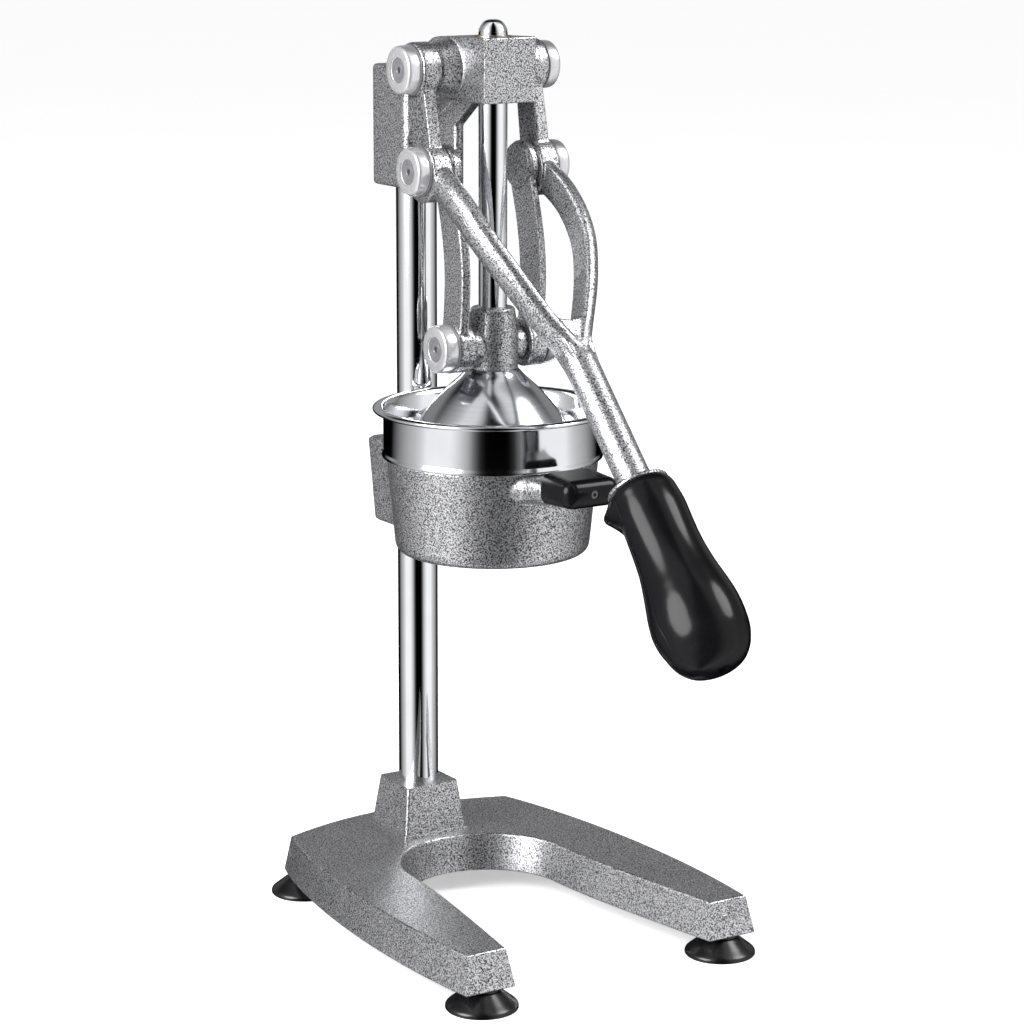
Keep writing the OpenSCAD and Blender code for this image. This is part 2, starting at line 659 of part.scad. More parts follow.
// Depth of the lug's top below the cup's rim
lug_under = 0.8;
lug_z = holder_top - lug_under - lug_h / 2;
function holder_r(z) = holder_low_r + (holder_top_r - holder_low_r) * (z - holder_z)
    / holder_h;
module stadium(half, h, y, depth) translate([0, -y, 0]) rotate([90, 0, 0])
    linear_extrude(depth) {
        for (s = [-1, 1]) translate([s * (half - h / 2), 0]) circle(h / 2, $fn = soft_fn);
        square([2 * half - h, h], center = true);
    }
module holder_outside() at(ram_ahead, 0) rotate_extrude() polygon(concat(
    [[0, holder_z], [holder_r(holder_z) - holder_round, holder_z]],
    [for (a = [-60:30:0]) [holder_r(holder_z) + holder_round * (cos(a) - 1),
        holder_z + holder_round * (1 + sin(a))]],
    [[holder_top_r, holder_top], [0, holder_top]]));
module holder_inside() at(ram_ahead, 0) {
    rotate_extrude() polygon([[0, holder_z + holder_floor],
        [holder_r(holder_z) - 2 * holder_wall, holder_z + holder_floor],
        [holder_r(holder_z + 2 * holder_floor) - holder_wall, holder_z + 2 * holder_floor],
        [holder_top_r - holder_wall, holder_top],
        [holder_top_r - holder_wall, holder_top + over], [0, holder_top + over]]);
    translate([0, 0, holder_z - over]) cylinder(h = holder_floor + 2 * over,
        r = holder_hole_r);
}
module holder_block() hull() {
    low = [hblock_half - hblock_draft, hblock_back - hblock_draft];
    reach = ram_ahead - holder_low_r + block_into;
    translate([-low[0], -reach, holder_z]) cube([2 * low[0], low[1] + reach, over]);
    translate([-hblock_half, -reach, holder_z + hblock_h - over])
        cube([2 * hblock_half, hblock_back + reach, over]);
}
holder_screw_z = [holder_z + hblock_h * 0.27, holder_z + hblock_h * 0.77];
module cup_holder() place() color(paint_c) difference() {
    union() {
        holder_outside();
        holder_block();
        at(ram_ahead, lug_z) hull() {
            stadium(lug_half, lug_h, lug_end - over, over);
            translate([0, 0, -over]) stadium(lug_half + over, lug_h + over,
                holder_low_r - 2 * holder_wall, over);
        }
    }
    holder_inside();
    translate([0, 0, holder_z - over]) cylinder(h = hblock_h + 2 * over, r = seat_r);
    for (z = holder_screw_z) translate([0, 0, z]) rotate([-90, 0, 0])
        cylinder(h = hblock_back + over, r = screw_hole_r);
    at(ram_ahead + lug_end + over, handle_z) rotate([-90, 0, 0])
        cylinder(h = handle_thread + over, r = handle_screw_r);
}
// Length of the handle screw's thread in the lug
handle_thread = 12;
module holder_set_screws() place() color(dark_steel_c) for (z = holder_screw_z)
    grub_screw(z, grub_l);

handle_round = 5;
handle_head_r = 2.1;
handle_head_h = 2;
handle_recess = 2.4;
handle_socket_r = 1;
module holder_handle() place() color(plastic_c) at(ram_ahead, handle_z) difference() {
    hull() {
        stadium(handle_half, handle_h + 2 * over, lug_end, over);
        stadium(handle_half, handle_h, handle_front - handle_round - over, over);
        for (s = [-1, 1], t = [-1, 1]) translate([s * (handle_half - handle_round),
            handle_round - handle_front, t * (handle_h / 2 - handle_round)])
            sphere(handle_round, $fn = soft_fn);
    }
    at(lug_end - over, 0) rotate([90, 0, 0]) cylinder(h = handle_l, r = handle_screw_r);
    at(handle_front - handle_recess, 0) rotate([90, 0, 0])
        cylinder(h = handle_recess + over, r = handle_head_r + run_gap);
}
module holder_handle_screw() place() color(steel_c) at(ram_ahead, handle_z) difference() {
    union() {
        at(lug_end - handle_thread + over, 0) rotate([90, 0, 0])
            cylinder(h = handle_l + handle_thread - handle_recess - over, r = handle_screw_r);
        at(handle_front - handle_recess, 0) rotate([90, 0, 0])
            cylinder(h = handle_head_h, r = handle_head_r);
    }
    at(handle_front - handle_recess + handle_head_h / 2, 0) rotate([90, 0, 0])
        cylinder(h = handle_head_h, r = handle_socket_r, $fn = 6);
}

// Juice bowl: a sheet cup whose band stands on the holder's rim, with a funnel and spout
bowl_gap = 0.5;
bead_out = 0.8;
bead_h = 2.2;
funnel_r = 40;
spout_h = 8;
spout_up = 1.5;
// Angle round the rolled rim at which the band meets its underside
roll_end = -150;
// Angle at which its sheet ends inside the band
roll_stop = 150;
low_r = holder_r(ledge_z) - holder_wall - bowl_gap;
top_r = holder_top_r - holder_wall - bowl_gap;
bell_r = top_r - bowl_t - bell_gap;
strainer_r = low_r - bowl_t - strainer_gap;
// The bowl is one sheet, in two nodes: the cup with its shoulder and spout, and the band
band_z = holder_top + bead_h;
module juice_bowl() place() color(chrome_c) at(ram_ahead, 0) rotate_extrude() polygon([
    [spout_r, holder_z + spout_up], [spout_r, holder_z + spout_up + spout_h],
    [funnel_r, ledge_z - bowl_t], [low_r - bowl_t, ledge_z - bowl_t],
    [low_r, ledge_z], [top_r, holder_top], [band_r + bead_out, holder_top],
    [band_r + bead_out, band_z - bead_out], [band_r, band_z],
    [band_r - bowl_t, band_z], [band_r - 2 * bowl_t, holder_top + bowl_t],
    [top_r - bowl_t, holder_top + bowl_t], [low_r - bowl_t, ledge_z],
    [funnel_r - bowl_t / 2, ledge_z],
    [spout_r - bowl_t, holder_z + spout_up + spout_h + bowl_t],
    [spout_r - bowl_t, holder_z + spout_up]]);
module bowl_band() place() color(chrome_c) at(ram_ahead, 0) rotate_extrude() polygon(concat(
    [[band_r, band_z], [band_r, rim_z - rim_half_h * 2]],
    [for (a = [roll_end:15:roll_stop])
        [band_r + rim_half * (1 + cos(a)), rim_z + rim_half_h * sin(a)]],
    [[band_r - bowl_t, rim_z - rim_half_h], [band_r - bowl_t, band_z]]));

strainer_t = 1.4;
cone_low_z = ledge_z + strainer_t;
cone_high_z = ledge_z + cone_h - tip_r;
function cone_side(inset) = concat([[cone_r - inset, cone_low_z]],
    [for (a = [20:15:80]) [(tip_r - inset) * cos(a), cone_high_z + (tip_r - inset) * sin(a)]],
    [[0, cone_high_z + tip_r - inset]]);
rib_out = 1.6;
slot_low_share = 0.1;
slot_high_share = 0.52;
module strainer_cone() place() color(steel_c) at(ram_ahead, 0) {
    difference() {
        union() {
            rotate_extrude() polygon(concat([[0, ledge_z], [strainer_r, ledge_z],
                [strainer_r, cone_low_z]], cone_side(0)));
            for (k = [0:slots - 1]) rotate([0, 0, 360 * (k + 0.5) / slots])
                side_plate([[0, cone_low_z], [cone_r + rib_out, cone_low_z],
                    [tip_r + rib_out, cone_high_z], [tip_r, cone_high_z],
                    [0, cone_high_z]], -slot_w / 2, slot_w / 2);
        }
        rotate_extrude() polygon(concat([[0, ledge_z - over],
            [cone_r - strainer_t, ledge_z - over]], cone_side(strainer_t)));
        for (k = [0:slots - 1]) rotate([0, 0, 360 * k / slots]) translate([-slot_w / 2, 0, 0])
            translate([0, 0, ledge_z + cone_h * slot_low_share])
                cube([slot_w, cone_r, cone_h * (slot_high_share - slot_low_share)]);
    }
}

// Ram rod: rounded point on top, threaded end below the collar
point_top_share = 0.45;
module ram_rod() place() color(chrome_c) at(ram_ahead, 0) rotate_extrude() polygon(concat(
    [[0, rod_end], [thread_r, rod_end], [thread_r, collar_z], [ram_r, collar_z]],
    [for (a = [0:15:60]) [ram_r * (point_top_share + (1 - point_top_share) * cos(a)),
        ram_top - ram_point_h * (1 - sin(a))]],
    [[ram_r * point_top_share, ram_top], [0, ram_top]]));
collar_top = collar_z + collar_h;
shoulder_share = 0.62;
module ram_collar() place() color(paint_c) at(ram_ahead, 0) difference() {
    union() {
        rotate_extrude() polygon([[0, collar_z], [collar_r, collar_z],
            [collar_r, collar_z + collar_h * shoulder_share],
            [collar_top_r, collar_top - over], [collar_top_r - over, collar_top],
            [0, collar_top]]);
        for (s = [-1, 1]) translate([0, 0, low_z]) across(collar_boss_r, 0, collar_half, s);
    }
    translate([0, 0, collar_z - over]) cylinder(h = collar_h + 2 * over, r = ram_r);
    for (s = [-1, 1]) translate([0, 0, low_z])
        across(pin_r, collar_pin_in, collar_half + over, s);
    translate([0, 0, collar_screw_z]) rotate([-90, 0, 0])
        cylinder(h = collar_r + over, r = collar_screw_r);
}
collar_screw_z = low_z + 9;
collar_screw_r = 2.5;
collar_screw_l = 4.5;
module collar_set_screw() place() color(dark_steel_c) at(ram_ahead, collar_screw_z)
    rotate([-90, 0, 0]) difference() {
        translate([0, 0, ram_r]) cylinder(h = collar_screw_l, r = collar_screw_r);
        translate([0, 0, ram_r + collar_screw_l / 2])
            cylinder(h = collar_screw_l, r = socket_r * 0.8, $fn = 6);
    }

// Press bell: outline in shares of its height down from the top and of its rim radius
bell_shares = [[0, 0.29], [0.02, 0.312], [0.08, 0.376], [0.22, 0.553], [0.365, 0.7],
    [0.5, 0.815], [0.65, 0.905], [0.8, 0.962], [0.93, 0.99], [1, 1]];
bell_line = [for (p = smooth(bell_shares, 2)) [p[1] * bell_r, collar_z - p[0] * bell_h]];
// The same line moved in by the sheet's thickness, square to the surface
bell_inside = [for (i = [0:len(bell_line) - 1])
    let (v = unit(bell_line[min(i + 1, len(bell_line) - 1)] - bell_line[max(i - 1, 0)]),
        q = bell_line[i] + bell_t * [v[1], -v[0]])
    if (q[1] < collar_z - bell_t && q[0] > thread_r) [q[0], max(q[1], bell_rim_z)]];
module press_bell() place() color(steel_c) at(ram_ahead, 0) rotate_extrude()
    polygon(concat([[thread_r, collar_z]], bell_line,
        [for (i = [len(bell_inside) - 1:-1:0]) bell_inside[i]],
        [[nut_af / sqrt(3) + over, collar_z - bell_t], [thread_r, collar_z - bell_t]]));
module bell_nut() place() color(steel_c) at(ram_ahead, rod_end) difference() {
    cylinder(h = nut_h, r = nut_af / sqrt(3), $fn = 6);
    translate([0, 0, -over]) cylinder(h = nut_h + 2 * over, r = thread_r);
}
module collar_pin_left() place() color(steel_c) at(ram_ahead, low_z)
    pin(collar_pin_in, low_pin_end, -1);
module collar_pin_right() place() color(steel_c) at(ram_ahead, low_z)
    pin(collar_pin_in, low_pin_end, 1);
module collar_cap_left() place() color(chrome_c) at(ram_ahead, low_z)
    cap_ring(low_cap_x, -1, low_cap_t);
module collar_cap_right() place() color(chrome_c) at(ram_ahead, low_z)
    cap_ring(low_cap_x, 1, low_cap_t);
module collar_washer_left() place() color(steel_c) at(ram_ahead, low_z)
    washer(low_washer_x, -1);
module collar_washer_right() place() color(steel_c) at(ram_ahead, low_z)
    washer(low_washer_x, 1);

// Links: a bowed bar between a blind upper eye and a bored lower eye
bar_steps = 10;
function bar_mid(t) = [mid_ahead + (ram_ahead - mid_ahead) * t
    + link_bow * pow(sin(180 * t), 1.2), mid_z + (low_z - mid_z) * t];
module link_bar(side) {
    w = link_w / 2;
    corners = [[link_bar_x, w], [link_bar_x, -w],
        [link_bar_x + link_t, link_draft - w], [link_bar_x + link_t, w - link_draft]];
    points = [for (k = [0:bar_steps]) let (m = bar_mid(k / bar_steps))
        for (c = corners) [side * c[0], -m[0] - c[1], m[1]]];
    faces = concat([[0, 1, 2, 3]], [[for (i = [3:-1:0]) 4 * bar_steps + i]],
        [for (k = [0:bar_steps - 1], i = [0:3]) [4 * k + i, 4 * k + 4 + i,
            4 * k + 4 + (i + 1) % 4, 4 * k + (i + 1) % 4]]);
    polyhedron(points, side > 0 ? faces
        : [for (f = faces) [for (i = [len(f) - 1:-1:0]) f[i]]]);
}
module link(side) place() color(paint_c) difference() {
    union() {
        at(mid_ahead, mid_z) {
            across(eye_r, link_bar_x, link_face_x, side);
            across(face_r, link_x, link_bar_x, side);
        }
        at(ram_ahead, low_z) across(eye_r, low_eye_x, low_eye_x + lower_eye_t, side);
        link_bar(side);
    }
    at(ram_ahead, low_z) across(pin_r + run_gap, 0, low_cap_x, side);
}
module link_left() link(-1);
module link_right() link(1);

// Lever yoke: flat arms between the two pivots, fork arms that join in a round shaft
// The fork arm's path: shares of the pivot's width, of the run and of the drop to the knee,
// and the share of the full section that is left there
arm_shares = [[1, 0, 0, 1], [1.03, 0.295, 0.154, 1], [0.94, 0.523, 0.354, 1],
    [0.68, 0.697, 0.577, 1], [0.32, 0.849, 0.821, 0.96], [0.09, 0.96, 0.955, 0.9],
    [0, 1.06, 1.07, 0.8]];
arm_x = eye_x + eye_t / 2;
arm_line = smooth(arm_shares, 3);
function arm_path(side) = [for (p = arm_line) [side * p[0] * arm_x,
    -mid_ahead - p[1] * (knee_ahead - mid_ahead), mid_z - p[2] * (mid_z - knee_z)]];
// The arm's section, in shares of its thickness and width: flat inside and round outside
section_shares = [[-0.5, -0.38], [-0.42, -0.47], [-0.26, -0.5], [0, -0.48], [0.24, -0.41],
    [0.42, -0.28], [0.5, -0.1], [0.5, 0.1], [0.42, 0.28], [0.24, 0.41], [0, 0.48],
    [-0.26, 0.5], [-0.42, 0.47], [-0.5, 0.38]];
module fork_arm(side) {
    path = arm_path(side);
    m = len(path);
    n = len(section_shares);
    points = [for (i = [0:m - 1]) let (d = path[min(i + 1, m - 1)] - path[max(i - 1, 0)],
        w = unit([0, -d[2], d[1]]), left = arm_line[i][3])
        for (q = section_shares) path[i] + [side * q[0] * arm_t * left, 0, 0]
            + w * q[1] * arm_w * left];
    function turn(f) = side > 0 ? [for (i = [len(f) - 1:-1:0]) f[i]] : f;
    polyhedron(points, concat([turn([for (i = [0:n - 1]) i])],
        [turn([for (i = [n - 1:-1:0]) (m - 1) * n + i])],
        [for (k = [0:m - 2], i = [0:n - 1]) turn([k * n + i, k * n + n + i,
            k * n + n + (i + 1) % n, k * n + (i + 1) % n])]));
}
module flat_arm(side) {
    d = [sin(crank_deg), -cos(crank_deg)];
    w = [cos(crank_deg), sin(crank_deg)];
    top = [pivot_ahead, pivot_z];
    low = top + crank_l * d;
    x0 = arm_x - flat_t / 2;
    side_plate([top - flat_top_half * w, low - flat_low_half * w,
        low + flat_low_half * w, top + flat_top_half * w],
        side > 0 ? x0 : -x0 - flat_t, side > 0 ? x0 + flat_t : -x0);
}
// Along the straight part of the lever: +Z runs down the shaft and +Y is its upper side
module along(t) translate([0, -knee_ahead - t * cos(lever_deg), knee_z - t * sin(lever_deg)])
    rotate([90 + lever_deg, 0, 0]) children();
// Middle of the web that closes the fork's crotch, as a share of the way to the knee, and
// the shares of the shaft's radius that the web has at its two ends
crotch_share = 0.84;
// How far the middle eye is drawn out below its pin, and how much larger it is there
yoke_low = 1.8;
yoke_more = 0.5;
web_shares = [0.9, 0.98];
module lever_yoke() place() color(paint_c) difference() {
    union() {
        for (s = [-1, 1]) {
            fork_arm(s);
            flat_arm(s);
            at(pivot_ahead, pivot_z) across(yoke_eye_r, eye_x, eye_x + eye_t, s);
            at(mid_ahead, mid_z) {
                across(yoke_eye_r, eye_x, eye_x + eye_t, s);
                across(face_r, eye_x - middle_step, eye_x, s);
            }
            at(mid_ahead, mid_z - yoke_low)
                across(yoke_eye_r + yoke_more, eye_x, eye_x + eye_t, s);
        }
        at(knee_ahead, knee_z) sphere(shaft_r);
        hull() {
            at(knee_ahead, knee_z) sphere(shaft_r * web_shares[1], $fn = soft_fn);
            at(mid_ahead + crotch_share * (knee_ahead - mid_ahead),
                mid_z - crotch_share * (mid_z - knee_z))
                sphere(shaft_r * web_shares[0], $fn = soft_fn);
        }
        along(0) {
            cylinder(h = shaft_l + over, r = shaft_r);
            translate([0, 0, shaft_l]) cylinder(h = flange_t, r = flange_r);
            cylinder(h = grip_start + tang_l, r = tang_r);
        }
    }
    for (s = [-1, 1]) {
        at(pivot_ahead, pivot_z) across(pin_r + run_gap, eye_x - over, head_cap_x, s);
        at(mid_ahead, mid_z) across(pin_r, eye_x - 2 * over, head_cap_x, s);
    }
    along(grip_start + tang_l - grip_thread) cylinder(h = grip_thread + over, r = grip_screw_r);
}
module middle_pin_left() place() color(steel_c) at(mid_ahead, mid_z)
    pin(eye_x - middle_step, head_pin_end, -1);
module middle_pin_right() place() color(steel_c) at(mid_ahead, mid_z)
    pin(eye_x - middle_step, head_pin_end, 1);
module middle_cap_left() place() color(chrome_c) at(mid_ahead, mid_z)
    cap_ring(head_cap_x, -1);
module middle_cap_right() place() color(chrome_c) at(mid_ahead, mid_z)
    cap_ring(head_cap_x, 1);
middle_washer_t = head_cap_x - eye_x - eye_t;
module middle_washer(side) difference() {
    across(eye_r, eye_x + eye_t, head_cap_x, side);
    across(pin_r, eye_x + eye_t - over, head_cap_x + over, side);
}
module middle_washer_left() place() color(steel_c) at(mid_ahead, mid_z) middle_washer(-1);
module middle_washer_right() place() color(steel_c) at(mid_ahead, mid_z) middle_washer(1);

// Grip: turned pear shape with a finger stop that juts out on its underside
stop_at = 5;
stop_half = 9;
stop_drop = 17.5;
grip_thread = 14;
grip_head_r = 5;
grip_head_h = 3.4;
grip_recess = 5;
module lever_grip() place() color(plastic_c) along(grip_start) difference() {
    union() {
        rotate_extrude() polygon(concat([[0, 0]], [for (p = smooth(grip_shares, 2))
            [p[1] * grip_r, p[0] * grip_l]], [[0, grip_l]]));
        hull() for (s = [-1, 1]) {
            translate([s * stop_half, -stop_drop, stop_at]) sphere(stop_r, $fn = soft_fn);
            translate([s * stop_half, 0, stop_at + stop_drop / 2])
                sphere(stop_r, $fn = soft_fn);
        }
    }
    translate([0, 0, -over]) cylinder(h = tang_l + over, r = tang_r);
    cylinder(h = grip_l, r = grip_screw_r);
    translate([0, 0, grip_l - grip_recess - grip_head_h])
        cylinder(h = grip_l, r = grip_head_r + run_gap);
}
module grip_screw() place() color(steel_c)
    along(grip_start + grip_l - grip_recess - grip_head_h) difference() {
        union() {
            cylinder(h = grip_head_h, r = grip_head_r);
            screw_l = grip_l - grip_recess - grip_head_h - tang_l + grip_thread;
            translate([0, 0, -screw_l]) cylinder(h = screw_l, r = grip_screw_r);
        }
        translate([0, 0, grip_head_h / 2]) cylinder(h = grip_head_h, r = socket_r, $fn = 6);
    }

base_casting();
suction_foot_front_left();
suction_foot_front_right();
suction_foot_rear_left();
suction_foot_rear_right();
foot_studs();
column_tube();
column_insert();
column_bolt();
head_bracket();
head_set_screws();
ram_bush_upper();
ram_bush_lower();
head_plug();
head_pin_left();
head_pin_right();
head_cap_left();
head_cap_right();
head_washer_left();
head_washer_right();
cup_holder();
holder_set_screws();
holder_handle();
holder_handle_screw();
juice_bowl();
bowl_band();
strainer_cone();
ram_rod();
ram_collar();
collar_set_screw();
press_bell();
bell_nut();
collar_pin_left();
collar_pin_right();
collar_cap_left();
collar_cap_right();
collar_washer_left();
collar_washer_right();
link_left();
link_right();
lever_yoke();
middle_pin_left();
middle_pin_right();
middle_cap_left();
middle_cap_right();
middle_washer_left();
middle_washer_right();
lever_grip();
grip_screw();
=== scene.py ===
import math

import bmesh
import bpy
import numpy as np
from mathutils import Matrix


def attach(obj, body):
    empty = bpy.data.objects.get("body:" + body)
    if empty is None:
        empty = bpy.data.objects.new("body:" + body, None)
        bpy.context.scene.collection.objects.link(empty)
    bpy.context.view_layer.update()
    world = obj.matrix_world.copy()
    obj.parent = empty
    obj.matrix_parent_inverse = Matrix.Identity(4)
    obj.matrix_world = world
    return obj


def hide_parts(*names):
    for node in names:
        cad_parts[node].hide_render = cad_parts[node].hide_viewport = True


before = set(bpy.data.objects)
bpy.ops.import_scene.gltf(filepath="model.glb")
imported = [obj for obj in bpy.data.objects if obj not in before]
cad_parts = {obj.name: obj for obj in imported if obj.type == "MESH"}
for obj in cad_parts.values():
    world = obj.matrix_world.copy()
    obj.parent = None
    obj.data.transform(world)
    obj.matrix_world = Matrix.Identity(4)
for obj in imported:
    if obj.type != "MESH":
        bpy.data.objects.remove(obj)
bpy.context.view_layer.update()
print("frame loaded:", len(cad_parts), "nodes")

mm = 0.001
midY = 127.654       # the column's axis behind the middle of the footprint, in mm
fullTurn = 2 * math.pi
sharpAngle = 32      # an edge between faces that turn by more degrees stays sharp
mergeGap = 2e-6      # points nearer than this, in m, become one
leastEdge = 1e-6     # a shorter edge, in m, is dissolved
overrun = 2          # how far a cut runs past the face that it opens, in mm
lap = 1              # how far joined solids run into each other, in mm

# places that several pieces share, in mm: distance ahead of the column's axis and height
place = {
    "headPivot": (59.4, 458.6),
    "midPivot": (68.787, 407.454),
    "lowPivot": (78.0, 315.917),
    "ram": 78.0,
    "knee": (161.6, 317.4),
    "leverDeg": 46.4,
    "pinR": 6.5,
    "pinPlay": 0.05,
    "capR": 12.5,
    "eyeX": (27.0, 38.1),
}


# A shape is (points, faces): points in mm with +X right, +Y back and +Z up.

# Closed rows of points joined to their neighbours by quads, with a flat face over either end,
# or with the last row joined to the first.
def gridShape(points, wrapRows=False):
    rows, cols = points.shape[:2]
    i = np.arange(rows if wrapRows else rows - 1)[:, None]
    j = np.arange(cols)[None, :]
    nextI, nextJ = (i + 1) % rows, (j + 1) % cols
    corners = np.broadcast_arrays(i * cols + j, i * cols + nextJ,
                                  nextI * cols + nextJ, nextI * cols + j)
    faces = np.stack(corners, -1).reshape(-1, 4).tolist()
    if not wrapRows:
        faces.append(np.arange(cols)[::-1].tolist())
        faces.append(((rows - 1) * cols + np.arange(cols)).tolist())
    return points.reshape(-1, 3), faces


# A line whose corners become curves: each corner is cut back by its radius along both
# sides, and a parabola joins the two cuts.
def rounded(line, radius, closed=False, steps=6):
    line = np.asarray(line, float)
    radius = np.broadcast_to(np.asarray(radius, float), (len(line),))
    before = np.roll(line, 1, 0) - line
    after = np.roll(line, -1, 0) - line
    lengthBefore = np.linalg.norm(before, axis=1) + 1e-9
    lengthAfter = np.linalg.norm(after, axis=1) + 1e-9
    cut = np.minimum(radius, 0.49 * np.minimum(lengthBefore, lengthAfter))
    if not closed:
        cut[[0, -1]] = 0
    a = line + before * (cut / lengthBefore)[:, None]
    b = line + after * (cut / lengthAfter)[:, None]
    t = np.linspace(0, 1, steps)[None, :, None]
    curve = (1 - t) ** 2 * a[:, None] + 2 * t * (1 - t) * line[:, None] + t ** 2 * b[:, None]
    return curve.reshape(-1, 2)


# A smooth line through points (each span is a cubic that leans on its neighbours).
def smoothLine(knots, steps=8):
    knots = np.asarray(knots, float)
    padded = np.vstack([knots[:1], knots, knots[-1:]])
    a, b, c, d = padded[:-3], padded[1:-2], padded[2:-1], padded[3:]
    t = (np.arange(steps) / steps)[None, :, None]
    a, b, c, d = (p[:, None] for p in (a, b, c, d))
    line = 0.5 * (2 * b + (c - a) * t + (2 * a - 5 * b + 4 * c - d) * t ** 2
                  + (3 * b - a - 3 * c + d) * t ** 3)
    return np.vstack([line.reshape(-1, knots.shape[1]), knots[-1:]])


# One cubic curve through four control points.
def cubic(a, b, c, d, steps):
    t = np.linspace(0, 1, steps + 1)[:, None]
    a, b, c, d = (np.asarray(p, float) for p in (a, b, c, d))
    return a * (1 - t) ** 3 + b * 3 * t * (1 - t) ** 2 + c * 3 * t * t * (1 - t) + d * t ** 3


# A profile of [radius, height] turned once round +Z. A closed profile makes a ring.
def turned(profile, segments=96, ring=False):
    profile = np.asarray(profile, float)
    angle = np.arange(segments) / segments * fullTurn
    points = np.stack([profile[:, :1] * np.cos(angle), profile[:, :1] * np.sin(angle),
                       np.repeat(profile[:, 1:], segments, 1)], -1)
    return gridShape(points, wrapRows=ring)


# The same shape with its +Z laid along X, towards the left (-1) or the right (1).
def sideways(shape, side):
    p = shape[0]
    return np.stack([side * p[:, 2], p[:, 0], p[:, 1]], 1), shape[1]


# The same shape carried to a distance ahead of the column and a height.
def carried(shape, ahead=0.0, z=0.0, x=0.0):
    return shape[0] + np.array([x, midY - ahead, z]), shape[1]


# The same shape with its +Z laid down the lever and its +Y on the lever's upper side.
def downLever(shape, start=0.0):
    g = math.radians(place["leverDeg"])
    p = shape[0]
    ahead = place["knee"][0] + (p[:, 2] + start) * math.cos(g) + p[:, 1] * math.sin(g)
    z = place["knee"][1] - (p[:, 2] + start) * math.sin(g) + p[:, 1] * math.cos(g)
    return np.stack([p[:, 0], midY - ahead, z], 1), shape[1]


# A round bar along X between two distances from the middle, tapered to another radius or with
# its edges broken if told.
def barX(r, x0, x1, side, end=None, segments=64, edge=0.0):
    end = r if end is None else end
    line = [[r, x0 + edge], [end, x1 - edge]]
    if edge:
        line = [[r - edge, x0]] + line + [[end - edge, x1]]
    return sideways(turned(line, segments), side)


# A plate across X, from an outline in [ahead, z].
def plate(outline, x0, x1):
    outline = np.asarray(outline, float)
    ends = [np.stack([np.full(len(outline), x), midY - outline[:, 0], outline[:, 1]], 1)
            for x in (x0, x1)]
    return gridShape(np.stack(ends))


# A stack of rounded rectangles, each given as (half width, back, ahead, z).
def stack(levels, corner):
    rings = []
    for half, back, ahead, z in levels:
        square = [[half, midY + back], [half, midY - ahead], [-half, midY - ahead],
                  [-half, midY + back]]
        line = rounded(square, corner, closed=True)
        rings.append(np.column_stack([line, np.full(len(line), z)]))
    return gridShape(np.stack(rings))


# A closed line moved outwards by d, along the mean of its two sides' outward directions.
def grown(line, d):
    side = np.roll(line, -1, 0) - line
    side = side / np.linalg.norm(side, axis=1)[:, None]
    normal = np.stack([side[:, 1], -side[:, 0]], 1)
    before = np.roll(normal, 1, 0)
    lean = 1 + (normal * before).sum(1)
    return line + d * (normal + before) / lean[:, None]


# Makes shapes one object: points are merged, and edges past an angle are kept sharp.
def makeObject(name, shapes, sharpDeg=sharpAngle):
    points = np.vstack([s[0] for s in shapes])
    starts = np.cumsum([0] + [len(s[0]) for s in shapes[:-1]])
    faces = [[v + start for v in f] for s, start in zip(shapes, starts.tolist()) for f in s[1]]
    mesh = bpy.data.meshes.new(name)
    mesh.from_pydata((points * mm).tolist(), [], faces)
    work = bmesh.new()
    work.from_mesh(mesh)
    bmesh.ops.remove_doubles(work, verts=work.verts, dist=mergeGap)
    bmesh.ops.dissolve_degenerate(work, edges=work.edges, dist=leastEdge)
    bmesh.ops.recalc_face_normals(work, faces=work.faces)
    work.to_mesh(mesh)
    work.free()
    mesh.shade_smooth()
    mesh.set_sharp_from_angle(angle=math.radians(sharpDeg))
    piece = bpy.data.objects.new(name, mesh)
    bpy.context.scene.collection.objects.link(piece)
    return piece


# Joins solids and cuts others out of them. With a grain, in mm, the whole gets the soft edges
# of a casting: a fine voxel skin, relaxed a few times. Without one it keeps its own faces.
def casting(name, solids, cuts=(), grain=0, relax=0):
    body = makeObject(name, solids[:1])
    tools = []
    for kind, shapes in (("UNION", solids[1:]), ("DIFFERENCE", cuts)):
        for shape in shapes:
            tool = makeObject("tool", [shape])
            tools.append(tool)
            step = body.modifiers.new(kind, "BOOLEAN")
            step.operation, step.solver, step.object = kind, "MANIFOLD", tool
    if grain:
        skin = body.modifiers.new("skin", "REMESH")
        skin.mode, skin.voxel_size, skin.use_smooth_shade = "VOXEL", grain * mm, True
        soften = body.modifiers.new("soften", "SMOOTH")
        soften.factor, soften.iterations = 0.5, relax
    bpy.context.view_layer.update()
    graph = bpy.context.evaluated_depsgraph_get()
    done = bpy.data.meshes.new_from_object(body.evaluated_get(graph))
    body.modifiers.clear()
    old, body.data = body.data, done
    done.name = name
    bpy.data.meshes.remove(old)
    for tool in tools:
        mesh = tool.data
        bpy.data.objects.remove(tool)
        bpy.data.meshes.remove(mesh)
    done.shade_smooth()
    if not grain:
        done.set_sharp_from_angle(angle=math.radians(sharpAngle))
        body.modifiers.new("even", "WEIGHTED_NORMAL").keep_sharp = True
    print("casting", name, len(done.polygons), "faces")
    return body


# Gives a piece its finish, its body and the CAD nodes that it stands for.
def settle(piece, finish, body, slot, *nodes):
    piece.data.materials.clear()
    piece.data.materials.append(finish)
    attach(piece, body)
    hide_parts(*nodes)


